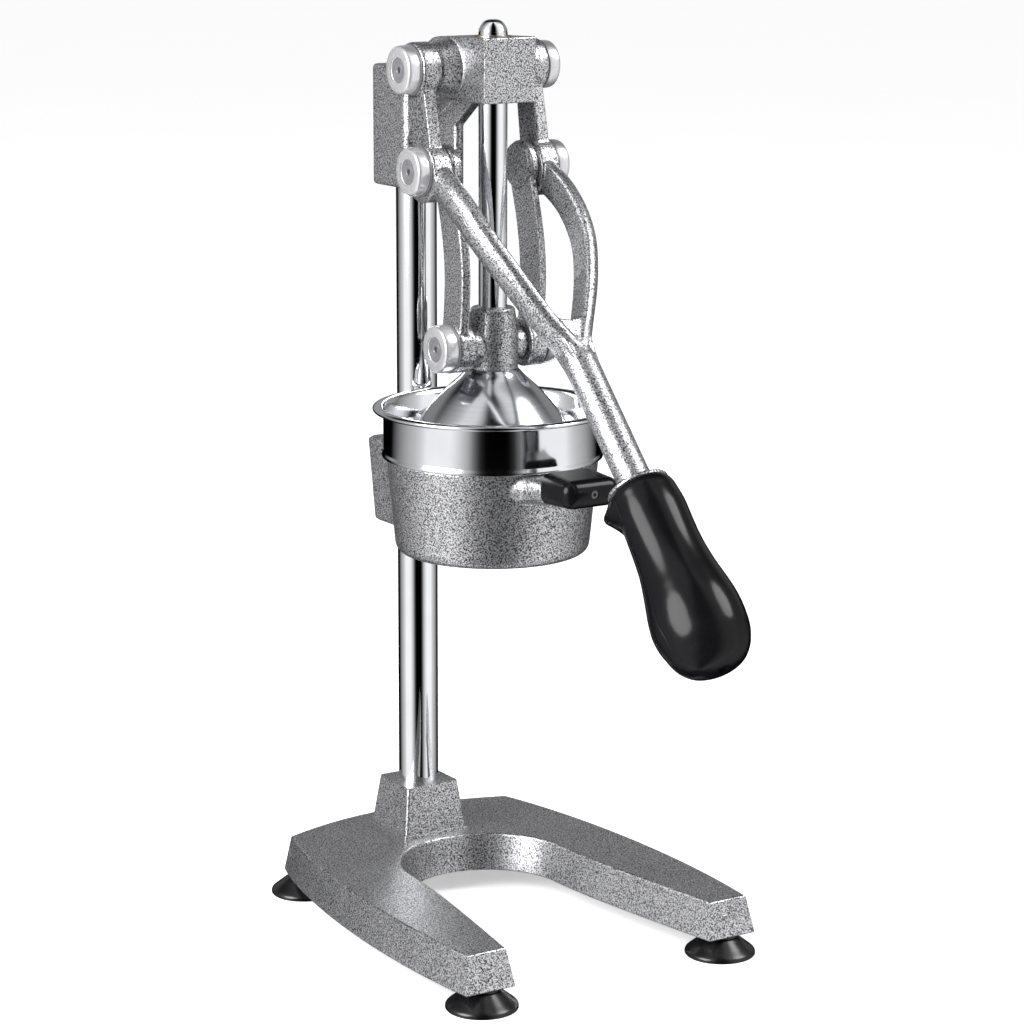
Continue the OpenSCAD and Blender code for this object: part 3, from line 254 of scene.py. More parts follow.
# A socket with Python's arithmetic: each operator adds one Math node.
class Num:
    def __init__(self, graph, socket):
        self.graph, self.socket = graph, socket

    def maths(self, operation, *values):
        node = self.graph.node("ShaderNodeMath", {"operation": operation}, dict(enumerate(values)))
        return Num(self.graph, node.outputs[0])

    def __add__(self, other):
        return self.maths("ADD", self, other)

    def __radd__(self, other):
        return self.maths("ADD", other, self)

    def __sub__(self, other):
        return self.maths("SUBTRACT", self, other)

    def __rsub__(self, other):
        return self.maths("SUBTRACT", other, self)

    def __mul__(self, other):
        return self.maths("MULTIPLY", self, other)

    def __rmul__(self, other):
        return self.maths("MULTIPLY", other, self)

    def __pow__(self, other):
        return self.maths("POWER", self, other)

    # Kept between 0 and 1.
    def held(self):
        return self.maths("MINIMUM", self.maths("MAXIMUM", self, 0.0), 1.0)


# The nodes of a material or of the world.
class Graph:
    def __init__(self, tree):
        self.tree = tree

    # Adds a node: its settings first, then the values or links of its sockets.
    def node(self, kind, settings, values):
        made = self.tree.nodes.new(kind)
        for key, value in settings.items():
            if key == "stops":
                ramp = made.color_ramp
                while len(ramp.elements) < len(value):
                    ramp.elements.new(0.5)
                for element, (position, colour) in zip(ramp.elements, value):
                    element.position, element.color = position, (*colour, 1)
            else:
                setattr(made, key, value)
        for key, value in values.items():
            if isinstance(value, Num):
                value = value.socket
            if isinstance(value, bpy.types.NodeSocket):
                self.tree.links.new(value, made.inputs[key])
            else:
                made.inputs[key].default_value = value
        return made

    # The three numbers of a place or a direction.
    def split(self, vector):
        node = self.node("ShaderNodeSeparateXYZ", {}, {0: vector})
        return [Num(self, output) for output in node.outputs]


class Finish(Graph):
    def __init__(self, name, metallic=0.0, roughness=0.5, **fixed):
        self.material = bpy.data.materials.new(name)
        self.material.use_nodes = True
        super().__init__(self.material.node_tree)
        self.shader = self.tree.nodes["Principled BSDF"]
        self.shader.inputs["Metallic"].default_value = metallic
        self.shader.inputs["Roughness"].default_value = roughness
        for key, value in fixed.items():
            self.shader.inputs[key.replace("_", " ")].default_value = value
        self.where = self.node("ShaderNodeTexCoord", {}, {}).outputs["Object"]

    def feed(self, socket, value):
        value = value.socket if isinstance(value, Num) else value
        self.tree.links.new(value, self.shader.inputs[socket])

    # Noise of a scale per metre, with its detail and the roughness of that detail.
    def noise(self, scale, detail=2.0, rough=0.5):
        node = self.node("ShaderNodeTexNoise", {}, {"Vector": self.where, "Scale": scale,
                                                    "Detail": detail, "Roughness": rough})
        return Num(self, node.outputs["Fac"])

    # A smooth step from 0 to 1 between two values.
    def band(self, value, low, high):
        node = self.node("ShaderNodeMapRange", {"interpolation_type": "SMOOTHSTEP"},
                         {"Value": value, "From Min": low, "From Max": high})
        return Num(self, node.outputs["Result"])

    # One colour at 0 and another at 1.
    def blend(self, factor, a, b):
        node = self.node("ShaderNodeMix", {"data_type": "RGBA"},
                         {0: factor, 6: (*a, 1), 7: (*b, 1)})
        return node.outputs[2]

    # Small relief: how much of it is used, and its depth in metres.
    def bump(self, height, strength, distance):
        node = self.node("ShaderNodeBump", {}, {"Height": height, "Strength": strength,
                                                "Distance": distance})
        self.feed("Normal", node.outputs["Normal"])


speckle = {"grain": 1400.0, "fine": 3000.0, "fineShare": 0.28, "slow": 40.0, "slowShare": 0.03,
           "pitEdges": (0.42, 0.56), "light": (0.70, 0.70, 0.72), "dark": (0.045, 0.045, 0.05),
           "metallic": 0.88, "pitRough": 0.45, "smoother": 0.17, "bump": (0.85, 0.00016),
           "grainDetail": 1.5, "fineDetail": 1.0}


# Grey speckled paint: pebbled lumps with dark pits between them, over slow changes of tone.
def makePaint(p):
    f = Finish("speckledPaint", p["metallic"])
    lumps = f.noise(p["grain"], p["grainDetail"])
    fine = f.noise(p["fine"], p["fineDetail"])
    slow = f.noise(p["slow"])
    mixed = lumps * (1 - p["fineShare"]) + fine * p["fineShare"] + (slow - 0.5) * p["slowShare"]
    shade = f.band(mixed, *p["pitEdges"])
    f.feed("Base Color", f.blend(shade, p["dark"], p["light"]))
    f.feed("Roughness", p["pitRough"] - shade * p["smoother"])
    f.bump(mixed, *p["bump"])
    return f.material


handling = {"cloud": (35.0, 3.0, 0.6), "fine": 600.0, "fineShare": 0.5, "dull": 0.94,
            "dullEdges": (0.3, 0.75)}


# Bright metal with faint handling marks and a slow waver in its polish.
def makeBright(name, colour, roughness, marks=0.04, metallic=1.0):
    p, f = handling, Finish(name, metallic)
    cloud = f.noise(*p["cloud"])
    fine = f.noise(p["fine"])
    dull = [c * p["dull"] for c in colour]
    f.feed("Base Color", f.blend(f.band(cloud, *p["dullEdges"]), dull, colour))
    rough = roughness + (cloud - 0.5) * marks + (fine - 0.5) * marks * p["fineShare"]
    f.feed("Roughness", rough.held())
    return f.material


turning = {"dull": 0.95, "lineEdges": (0.3, 0.7), "lineRough": 0.06, "bump": 0.35}
spun = {**turning, "colour": (0.60, 0.61, 0.64), "roughness": 0.15, "metallic": 1.0,
        "rings": 900.0, "depth": 0.0000003}
lathe = {**turning, "colour": (0.22, 0.22, 0.235), "roughness": 0.36, "metallic": 0.5,
         "rings": 2600.0, "depth": 0.00001}


# Turned metal: fine rings about an axis along X, or about the vertical where no height is given.
def makeTurned(name, look, centreAhead, centreZ=None):
    f = Finish(name, look["metallic"])
    x, y, z = f.split(f.where)
    dy = y - (midY - centreAhead) * mm
    other = x if centreZ is None else z - centreZ * mm
    radius = (dy * dy + other * other) ** 0.5
    wave = f.node("ShaderNodeTexNoise", {"noise_dimensions": "1D"},
                  {"W": radius, "Scale": look["rings"], "Detail": 2.0})
    lines = Num(f, wave.outputs["Fac"])
    dull = [c * look["dull"] for c in look["colour"]]
    f.feed("Base Color", f.blend(f.band(lines, *look["lineEdges"]), dull, look["colour"]))
    f.feed("Roughness", (look["roughness"] + (lines - 0.5) * look["lineRough"]).held())
    f.bump(lines, look["bump"], look["depth"])
    return f.material


moulding = {"dark": (0.0025, 0.0025, 0.003), "light": (0.006, 0.006, 0.007),
            "peel": (420.0, 1.0, 0.4), "haze": (45.0, 3.0, 0.6), "rough": 0.14,
            "hazeRough": 0.08, "specular": 0.18, "bump": (0.2, 0.00003)}


# Gloss black moulding with a faint orange-peel.
def makePlastic(p):
    f = Finish("blackPlastic", Specular_IOR_Level=p["specular"])
    peel = f.noise(*p["peel"])
    haze = f.noise(*p["haze"])
    f.feed("Base Color", f.blend(haze, p["dark"], p["light"]))
    f.feed("Roughness", p["rough"] + haze * p["hazeRough"])
    f.bump(peel, *p["bump"])
    return f.material


sole = {"dark": (0.003, 0.003, 0.0035), "light": (0.010, 0.010, 0.011),
        "grain": (900.0, 3.0, 0.6), "dust": (120.0, 3.0, 0.6), "dustEdges": (0.45, 0.8),
        "rough": 0.17, "dustRough": 0.16, "bump": (0.3, 0.00005)}


# Black rubber, fine-grained and a little dusty.
def makeRubber(p):
    f = Finish("suctionRubber")
    grain = f.noise(*p["grain"])
    dust = f.noise(*p["dust"])
    f.feed("Base Color", f.blend(f.band(dust, *p["dustEdges"]), p["dark"], p["light"]))
    f.feed("Roughness", p["rough"] + dust * p["dustRough"])
    f.bump(grain, *p["bump"])
    return f.material


paint = makePaint(speckle)
chrome = makeBright("chromePlate", (0.90, 0.91, 0.93), 0.05)
polished = makeBright("polishedSteel", (0.84, 0.85, 0.88), 0.10)
bellSteel = makeTurned("bellSteel", spun, place["ram"])
darkSteel = makeBright("darkSteel", (0.16, 0.16, 0.18), 0.35, 0.1)
plainSteel = makeBright("plainSteel", (0.62, 0.63, 0.66), 0.28, 0.1)
headSteel = makeTurned("headPivotSteel", lathe, *place["headPivot"])
midSteel = makeTurned("middlePivotSteel", lathe, *place["midPivot"])
lowSteel = makeTurned("lowPivotSteel", lathe, *place["lowPivot"])
capSteel = makeBright("capSteel", (0.70, 0.70, 0.72), 0.24, 0.08, 0.72)
bronze = makeBright("bushBronze", (0.40, 0.29, 0.17), 0.35, 0.1)
plastic = makePlastic(moulding)
rubber = makeRubber(sole)
print("finishes made")

base = {"z": 11.0, "top": 31.3, "halfRear": 70.5, "halfFront": 85.8, "mouthHalf": 63.2,
        "front": 193.2, "rear": 20.5, "bulge": 14.3, "uR": 47.0, "uAhead": 74.0, "draft": 3.6,
        "outerPull": ((1.2, 0.12), (1.12, 0.57)), "innerPull": ((1.01, 0.52), (0.87, 0.75)),
        "lowBevel": 1.0, "topBevel": 1.4, "bevelSteps": 6, "wall": 7.0, "ceiling": 22.3,
        "turnSteps": 20, "sideSteps": 32, "footTop": 59.2, "footTopHalf": 16.0,
        "footLowHalf": 19.6, "footRound": 2.2, "ledge": 1.6, "ledgeOut": 1.1, "ledgeRound": 1.5,
        "bossR": 9.0,
        "feet": ((-73.8, 187.0), (73.8, 187.0), (-65.5, -14.0), (65.5, -14.0))}


# The U outline: a bulged rear edge, curved outer sides, two square-cut prongs, and inner
# sides that run into a half circle. A side is a cubic curve, and its pulls are the shares of
# the half width and of the reach at its two middle control points. The left half mirrors the
# right.
def baseOutline(b):
    rearCorner, tip = (b["halfRear"], -b["rear"]), (b["halfFront"], b["front"])
    mouthEnd, mouthTip = (b["uR"], b["uAhead"]), (b["mouthHalf"], b["front"])
    s = np.arange(b["turnSteps"]) / b["turnSteps"]
    rear = np.stack([s * b["halfRear"], -b["rear"] - b["bulge"] * (1 - s * s)], 1)
    a = s * math.pi / 2
    turn = np.stack([b["uR"] * np.sin(a), b["uAhead"] - b["uR"] * np.cos(a)], 1)
    sides = []
    for first, last, (near, far) in ((rearCorner, tip, b["outerPull"]),
                                     (mouthEnd, mouthTip, b["innerPull"])):
        sides.append(cubic(first, (first[0] * near[0], b["front"] * near[1]),
                           (last[0] * far[0], b["front"] * far[1]), last, b["sideSteps"]))
    outside, inside = np.vstack([rear, sides[0]]), np.vstack([turn, sides[1]])
    flip = np.array([-1, 1])
    return np.vstack([outside, inside[::-1], (inside * flip)[1:], (outside * flip)[:0:-1]])


# Rings of the outline, grown or drawn in at each height: the hollow's ceiling, the hollow's
# mouth, a quarter round up the outside, and another over the top edge.
def makeBase(b):
    line = baseOutline(b)
    a = np.linspace(0, math.pi / 2, b["bevelSteps"])
    lowR, topR, hollow = b["lowBevel"], b["topBevel"], b["draft"] - b["wall"]
    levels = [(hollow, b["ceiling"]), (hollow, b["z"])]
    levels += [(b["draft"] + lowR * (math.sin(t) - 1), b["z"] + lowR * (1 - math.cos(t)))
               for t in a]
    levels += [(topR * (math.cos(t) - 1), b["top"] + topR * (math.sin(t) - 1)) for t in a]
    rings = []
    for d, z in levels:
        moved = grown(line, d)
        rings.append(np.column_stack([moved[:, 0], midY - moved[:, 1], np.full(len(moved), z)]))
    low, high = [b["footLowHalf"]] * 3, [b["footTopHalf"]] * 3
    ledge = [b["footLowHalf"] + b["ledgeOut"]] * 3
    solids = [gridShape(np.stack(rings)),
              stack([(*ledge, b["top"] - 2 * lap), (*ledge, b["top"] + b["ledge"])],
                    b["ledgeRound"]),
              stack([(*low, b["top"]), (*high, b["footTop"])], b["footRound"])]
    boss = turned([[b["bossR"], b["z"]], [b["bossR"], b["ceiling"] + lap]], 40)
    solids += [carried(boss, ahead, 0, x) for x, ahead in b["feet"]]
    return casting("baseCasting", solids)


settle(makeBase(base), paint, "stand", "speckled_paint", "base_casting")

foot = {"lipR": 18.6, "lipT": 1.4, "lipFlat": 1.4, "lipEdge": (0.3, 0.4), "neckR": 8.5,
        "hollow": 2.6, "top": 11.0,
        "flare": [[17.9, 2.6], [14.8, 5.1], [11.7, 7.6], [9.5, 9.4]],
        "crown": [[8.7, 9.7], [9.4, 10.1], [9.1, 11.0]]}


# A profile of the hollow under side, the flare and the crown, turned round the stud's axis.
def makeFoot(name, f, x, ahead):
    edgeIn, edgeUp = f["lipEdge"]
    under = [[0, f["hollow"]], [f["neckR"], f["hollow"]], [f["lipR"] - f["lipFlat"], 0.0],
             [f["lipR"] - edgeIn, 0.0], [f["lipR"], edgeUp], [f["lipR"], f["lipT"]]]
    flare = smoothLine([[f["lipR"], f["lipT"]]] + f["flare"], 5)
    profile = np.vstack([under, flare, f["crown"], [[0, f["top"]]]])
    return makeObject(name, [carried(turned(profile, 72), ahead, 0, x)])


corners = ("front_left", "front_right", "rear_left", "rear_right")
for corner, (x, ahead) in zip(corners, base["feet"]):
    made = makeFoot("suctionFoot_" + corner, foot, x, ahead)
    settle(made, rubber, "stand", "rubber", "suction_foot_" + corner)
print("feet made")

column = {"r": 11.0, "inner": 9.0, "low": 26.8, "top": 450.5, "edge": 0.4}


# A closed profile of the tube's wall, turned.
def makeColumn(c):
    tube = rounded([[c["inner"], c["low"]], [c["r"], c["low"]], [c["r"], c["top"]],
                    [c["inner"], c["top"]]], c["edge"], closed=True, steps=4)
    return makeObject("columnTube", [carried(turned(tube, 128, ring=True))])


settle(makeColumn(column), chrome, "stand", "chrome", "column_tube")

ram = {"r": 7.5, "low": 293.417, "threadR": 5.0, "threadEdge": 0.6, "shoulder": 303.417,
       "top": 484.0, "point": 5.4, "groove": 0.28, "grooveAt": (0.9, 0.75, 0.45, 0.25),
       "seatIn": (0.05, 0.1), "dome": [[6.3, 3.0], [4.6, 1.0], [2.6, 0.15], [0, 0]]}


# A thread, a shoulder, the plain rod, a fine groove and a domed end. The dome's points each
# give a radius and how far they lie below the top.
def makeRam(m):
    r, top, thread, edge = m["r"], m["top"], m["threadR"], m["threadEdge"]
    seat, neck = top - m["point"], m["r"] - m["groove"]
    start, low, high, end = (seat - d for d in m["grooveAt"])
    rod = [[0, m["low"]], [thread - edge, m["low"]], [thread, m["low"] + edge],
           [thread, m["shoulder"]], [r, m["shoulder"]], [r, start], [neck, low], [neck, high],
           [r - m["seatIn"][0], end]]
    dome = smoothLine([[r - m["seatIn"][1], seat]] + [[a, top - d] for a, d in m["dome"]], 6)
    return makeObject("ramRod", [carried(turned(np.vstack([rod, dome]), 96), place["ram"])], 25)


settle(makeRam(ram), chrome, "ram", "chrome", "ram_rod")
print("column and ram made")

head = {"clampHalf": 17.0, "reach": 18.0, "clampLow": 391.8, "clampTop": 456.4,
        "clampRound": [2.5, 3.5, 3.5, 2.5], "blockHalf": 15.5, "blockLow": 442.3,
        "blockTop": 475.8, "front": 94.7, "rear": 45.3, "rearDrop": 1.6, "neckLow": 424.1,
        "neckAhead": 30.0, "neckDrop": 10.0, "shoulder": (37.8, 5.0), "fillet": 11.0, "web": 6.0,
        "webLow": 396.0, "webTop": 459.0, "webAhead": 43.0, "gussetAhead": 66.0,
        "gussetDrop": 16.0, "underLow": (16.0, 412.0), "underTop": 437.0, "bossR": 15.3,
        "bossTip": 26.7, "bossTaper": 0.84, "bossEdge": 0.9, "boreR": 9.5, "grain": 0.55,
        "relax": 2, "beamRound": [0, 6, 10, 6, 1, 1, 5, 5, 6, 0],
        "softEdge": [(1.6, 0), (0.5, 0.5), (0, 1.6)]}


# The clamp is a stack of rounded rectangles with softened ends. The beam, the fillet under its
# neck, the thin web and its gusset are plates across X, and two tapered bosses stand out
# sideways.
def makeHead(h):
    e, z = place["headPivot"]
    half, t = h["blockHalf"], h["web"] / 2
    neck = [h["neckAhead"], h["blockLow"] - h["neckDrop"]]
    beam = [[0, h["neckLow"]], [h["reach"], h["neckLow"]], neck, [h["rear"], h["blockLow"]],
            [h["front"], h["blockLow"]], [h["front"], h["blockTop"]],
            [h["rear"], h["blockTop"] - h["rearDrop"]],
            [h["shoulder"][0], h["blockTop"] - h["shoulder"][1]], [h["reach"], h["clampTop"]],
            [0, h["clampTop"]]]
    inX, lowZ = h["underLow"]
    under = [[inX, lowZ], [h["reach"], lowZ], [h["reach"], h["neckLow"]], neck,
             [h["neckAhead"], h["underTop"]], [inX, h["underTop"]]]
    web = [[0, h["webLow"]], [h["webAhead"], h["webLow"]], [h["webAhead"], h["webTop"]],
           [0, h["clampTop"]]]
    gusset = [[h["webAhead"], h["blockLow"] - h["gussetDrop"]],
              [h["gussetAhead"], h["blockLow"] + lap], [h["webAhead"], h["blockLow"] + lap]]
    soft = h["softEdge"]
    levels = ([(d, h["clampLow"] + rise) for d, rise in soft]
              + [(d, h["clampTop"] - rise) for d, rise in soft[::-1]])
    solids = [stack([(h["clampHalf"] - d, h["reach"] - d, h["reach"] - d, level)
                     for d, level in levels], h["clampRound"]),
              plate(rounded(under, [0, 0, h["fillet"], 0, 0, 0], closed=True), -half, half),
              plate(rounded(beam, h["beamRound"], closed=True), -half, half),
              plate(web, -t, t),
              carried(turned([[t, h["webLow"]], [t, h["blockLow"] + lap]], 32), h["webAhead"]),
              plate(gusset, -t, t)]
    for side in (-1, 1):
        boss = barX(h["bossR"], half - lap, h["bossTip"], side, h["bossR"] * h["bossTaper"], 72,
                    h["bossEdge"])
        solids.append(carried(boss, e, z))
    bore = turned([[h["boreR"], h["blockLow"] - overrun],
                   [h["boreR"], h["blockTop"] + overrun]], 64)
    return casting("headBracket", solids, [carried(bore, place["ram"])], h["grain"], h["relax"])


settle(makeHead(head), paint, "stand", "speckled_paint", "head_bracket")

cup = {"topR": 56.0, "lowR": 51.0, "z": 206.0, "top": 257.2, "wall": 4.0, "floor": 4.0,
       "lowRound": 5.5, "topRound": 0.8, "holeR": 20.0, "holeTop": 8.0, "blockHalf": 20.0,
       "blockTop": 253.3, "blockBack": 21.0, "blockAhead": 33.5, "blockDraft": 2.5, "blockEdge": 1.6,
       "blockRound": 3.2, "lugHalf": 15.6, "lugH": 14.0, "lugZ": 249.4,
       "lug": [(0, 0, 150.4, 0), (0.4, 0.2, 140.4, 0), (1.6, 0.4, 134.0, 0.1),
               (6.0, 1.0, 129.0, 0.3), (6.0, 1.0, 120.0, 0.3)], "grain": 0.85, "relax": 3}


# Stadium-shaped rings across Y: half width, height, distance ahead and height of the middle.
def stadiumStack(rings, steps=10):
    a = np.radians(np.concatenate([np.linspace(-90, 90, steps), np.linspace(90, 270, steps)]))
    side = np.concatenate([np.ones(steps), -np.ones(steps)])
    made = []
    for half, h, ahead, z in rings:
        x = side * (half - h / 2) + h / 2 * np.cos(a)
        made.append(np.stack([x, np.full(len(a), midY - ahead), z + h / 2 * np.sin(a)], 1))
    return gridShape(np.stack(made))


# The cup is a turned profile with a turned inside cut out. The block behind it is a stack of
# rounded rectangles with a draft, and the lug's rings each give how much wider and taller they
# are, how far ahead, and how much lower.
def makeCup(c):
    lowR, wall = c["lowR"], c["wall"]
    outside = rounded([[0, c["z"]], [lowR, c["z"]], [c["topR"], c["top"]], [0, c["top"]]],
                      [0, c["lowRound"], c["topRound"], 0], steps=9)
    inside = [[0, c["z"] + c["floor"]], [lowR - 2 * wall, c["z"] + c["floor"]],
              [lowR - wall, c["z"] + 2 * c["floor"]], [c["topR"] - wall, c["top"]],
              [c["topR"] - wall, c["top"] + overrun], [0, c["top"] + overrun]]
    low, back = c["blockHalf"] - c["blockDraft"], c["blockBack"] - c["blockDraft"]
    edge = c["blockEdge"]
    block = stack([(low - edge, back - edge, c["blockAhead"], c["z"]),
                   (low, back, c["blockAhead"], c["z"] + edge),
                   (c["blockHalf"], c["blockBack"], c["blockAhead"], c["blockTop"] - edge),
                   (c["blockHalf"] - edge, c["blockBack"] - edge, c["blockAhead"], c["blockTop"])],
                  c["blockRound"])
    lug = stadiumStack([(c["lugHalf"] + wider, c["lugH"] + taller, ahead, c["lugZ"] - lower)
                        for wider, taller, ahead, lower in c["lug"]])
    hole = turned([[c["holeR"], c["z"] - overrun], [c["holeR"], c["z"] + c["holeTop"]]], 64)
    cuts = [carried(turned(inside, 96), place["ram"]), carried(hole, place["ram"])]
    solids = [carried(turned(outside, 128), place["ram"]), block, lug]
    return casting("cupHolder", solids, cuts, c["grain"], c["relax"])


settle(makeCup(cup), paint, "stand", "speckled_paint", "cup_holder")

handle = {"half": 16.7, "h": 14.8, "start": 150.4, "front": 175.4, "z": 253.0, "round": 6.0,
          "corner": 7.0, "leastCorner": 1.6, "screwHole": 2.2, "screwDeep": 12.0, "recess": 2.4,
          "rootAt": [0, 0.5, 6], "rootIn": [0.5, 0, 0], "rootTaller": [1.0, 1.0, 0.7]}


# Rounded rectangles along Y. The last few draw in as a quarter round, to soften the front.
def makeHandle(h):
    a = np.linspace(0, math.pi / 2, 7)
    ahead = np.concatenate([h["start"] + np.array(h["rootAt"]),
                            h["front"] - h["round"] * (1 - np.sin(a))])
    inset = np.concatenate([h["rootIn"], h["round"] * (1 - np.cos(a))])
    taller = np.concatenate([h["rootTaller"], np.zeros(len(a))])
    rings = []
    for e, d, more in zip(ahead, inset, taller):
        half, tall = h["half"] - d, h["h"] / 2 + more - d
        square = [[half, tall], [-half, tall], [-half, -tall], [half, -tall]]
        line = rounded(square, max(h["corner"] - d, h["leastCorner"]), closed=True, steps=9)
        rings.append(np.stack([line[:, 0], np.full(len(line), midY - e), h["z"] + line[:, 1]], 1))
    p, faces = turned([[h["screwHole"], 0], [h["screwHole"], h["screwDeep"]]], 48)
    hole = np.stack([p[:, 0], midY - (h["front"] - h["recess"]) - p[:, 2], h["z"] + p[:, 1]], 1)
    return casting("holderHandle", [gridShape(np.stack(rings))], [(hole, faces)])


settle(makeHandle(handle), plastic, "stand", "black_plastic", "holder_handle")

bowl = {"sheet": 1.2, "bandR": 57.5, "rimZ": 282.3, "rimHalf": 2.8, "rimHalfH": 1.6,
        "spoutR": 15.0, "spoutLow": 207.5, "spoutTop": 215.5, "floorZ": 225.8, "lowR": 48.55,
        "topR": 51.5, "shoulderR": 58.3, "shoulderZ": 257.2, "bandTop": 279.2,
        "roll": (-150, 156, 9), "outRound": [0, 2, 4, 1, 1, 0.4, 0.3, 0.4, 0.3, 0.5, 0.5, 0],
        "inRound": [1, 1.5, 1, 1, 1.5, 3, 2, 0]}


# A closed profile: the outside from the spout up to the band, round the rolled rim, and back
# down the inside.
def makeBowl(b):
    t, low, top, band, spout = b["sheet"], b["lowR"], b["topR"], b["bandR"], b["spoutR"]
    shoulder, z, floorZ = b["shoulderR"], b["shoulderZ"], b["floorZ"]
    outside = rounded([[spout, b["spoutLow"]], [spout, b["spoutTop"]], [40, floorZ],
                       [low - t, floorZ], [low, floorZ + 1.8], [top, z - 0.8], [top + 0.7, z],
                       [shoulder, z], [shoulder, z + t], [shoulder - 0.4, z + 2.1],
                       [band, z + 3], [band, b["bandTop"]]], b["outRound"], steps=5)
    a = np.radians(np.arange(*b["roll"]))
    roll = np.stack([band + b["rimHalf"] * (1 + np.cos(a)),
                     b["rimZ"] + b["rimHalfH"] * np.sin(a)], 1)
    inside = rounded([[band - t, b["rimZ"] - 1.3], [band - t, z + 3.6], [55.6, z + t],
                      [top - t, z + t], [low - t, floorZ + t], [39.4, floorZ + t],
                      [spout - t, b["spoutTop"] + t], [spout - t, b["spoutLow"]]],
                     b["inRound"], steps=5)
    profile = np.vstack([outside, roll, inside])
    return makeObject("juiceBowl", [carried(turned(profile, 160, ring=True), place["ram"])], 40)


settle(makeBowl(bowl), polished, "stand", "polished_steel", "juice_bowl", "bowl_band")

bell = {"r": 46.5, "h": 53.3, "top": 303.417, "sheet": 2.0, "boreR": 5.0, "hem": 0.35,
        "hemIn": 0.15, "hemDrop": 0.25, "seatR": 10.2, "innerR": 11,
        "shares": [[0, 0.29], [0.02, 0.312], [0.08, 0.376], [0.22, 0.553], [0.365, 0.7],
                   [0.5, 0.815], [0.65, 0.905], [0.8, 0.962], [0.93, 0.99], [1, 1]]}


# The sheet's outside runs through the shares, of the height and of the radius. Its inside is
# the same line moved in square to itself.
def makeBell(b):
    r, top, t = b["r"], b["top"], b["sheet"]
    line = smoothLine(b["shares"], 7)
    outside = np.stack([line[:, 1] * r, top - line[:, 0] * b["h"]], 1)
    low = outside[-1, 1]
    along = np.gradient(outside, axis=0)
    along /= np.linalg.norm(along, axis=1)[:, None]
    inside = outside + t * np.stack([along[:, 1], -along[:, 0]], 1)
    inside = inside[(inside[:, 1] < top - t) & (inside[:, 0] > b["innerR"])]
    inside[:, 1] = np.maximum(inside[:, 1], low)
    hem = [[r, low + b["hem"]], [r - b["hemIn"], low], [r - t / 2, low - b["hemDrop"]]]
    profile = np.vstack([[[b["boreR"], top]], outside[:-1], hem, inside[::-1],
                         [[b["seatR"], top - t], [b["boreR"], top - t]]])
    return makeObject("pressBell", [carried(turned(profile, 160, ring=True), place["ram"])], 40)


settle(makeBell(bell), bellSteel, "ram", "bell_steel", "press_bell")
print("bowl and bell made")

collar = {"r": 13.3, "topR": 11.6, "low": 303.417, "h": 32.5, "straight": 20.0, "half": 16.5,
          "bossR": 9.0, "bossEdge": 0.7, "boreR": 7.5, "grain": 0.42, "relax": 3, "topEdge": 1,
          "round": [0, 0.8, 6, 0.6, 0.6, 0]}


# A turned body that narrows upwards, a boss along X to either side, and the ram's bore.
def makeCollar(c):
    e, z = place["lowPivot"]
    low, top, edge = c["low"], c["low"] + c["h"], c["topEdge"]
    body = rounded([[0, low], [c["r"], low], [c["r"], low + c["straight"]],
                    [c["topR"], top - edge], [c["topR"] - edge, top], [0, top]], c["round"])
    solids = [carried(turned(body, 96), e)]
    solids += [carried(barX(c["bossR"], 0, c["half"], side, edge=c["bossEdge"]), e, z)
               for side in (-1, 1)]
    bore = turned([[c["boreR"], low - overrun], [c["boreR"], top + overrun]], 64)
    return casting("ramCollar", solids, [carried(bore, e)], c["grain"], c["relax"])


settle(makeCollar(collar), paint, "ram", "speckled_paint", "ram_collar")

link = {"w": 21.2, "t": 4.5, "draft": 1.4, "bow": 6.8, "barX": 21.3, "eyeR": 13.0,
        "bowPower": 1.2, "eyeEdge": 0.9, "faceX": 19.8, "faceR": 12.0, "faceEdge": 0.6,
        "upperX": 26.1, "lowerX": (16.8, 26.7), "round": [0.9, 0.9, 1.2, 1.2], "steps": 28,
        "grain": 0.42, "relax": 1}


# The bar's middle line bows forward as a power of a sine between the two pivots.
def makeLink(name, side, k):
    (e0, z0), (e1, z1) = place["midPivot"], place["lowPivot"]
    t = np.linspace(0, 1, k["steps"])
    ahead = e0 + (e1 - e0) * t + k["bow"] * np.sin(np.pi * t) ** k["bowPower"]
    z = z0 + (z1 - z0) * t
    inner, outer = k["barX"], k["barX"] + k["t"]
    half, slim = k["w"] / 2, k["w"] / 2 - k["draft"]
    section = rounded([[inner, half], [inner, -half], [outer, -slim], [outer, slim]],
                      k["round"], closed=True, steps=4)
    x, y, z = np.broadcast_arrays(side * section[:, 0], midY - ahead[:, None] - section[:, 1],
                                  z[:, None])
    low, high = k["lowerX"]
    solids = [gridShape(np.stack([x, y, z], -1)),
              carried(barX(k["eyeR"], inner, k["upperX"], side, edge=k["eyeEdge"]), e0, z0),
              carried(barX(k["faceR"], k["faceX"], inner + lap, side, edge=k["faceEdge"]),
                      e0, z0),
              carried(barX(k["eyeR"], low, high, side, edge=k["eyeEdge"]), e1, z1)]
    bore = barX(place["pinR"] + place["pinPlay"], low - overrun, high + overrun, side)
    return casting(name, solids, [carried(bore, e1, z1)], k["grain"], k["relax"])


for name, side, node in (("linkLeft", -1, "link_left"), ("linkRight", 1, "link_right")):
    settle(makeLink(name, side, link), paint, "links", "speckled_paint", node)

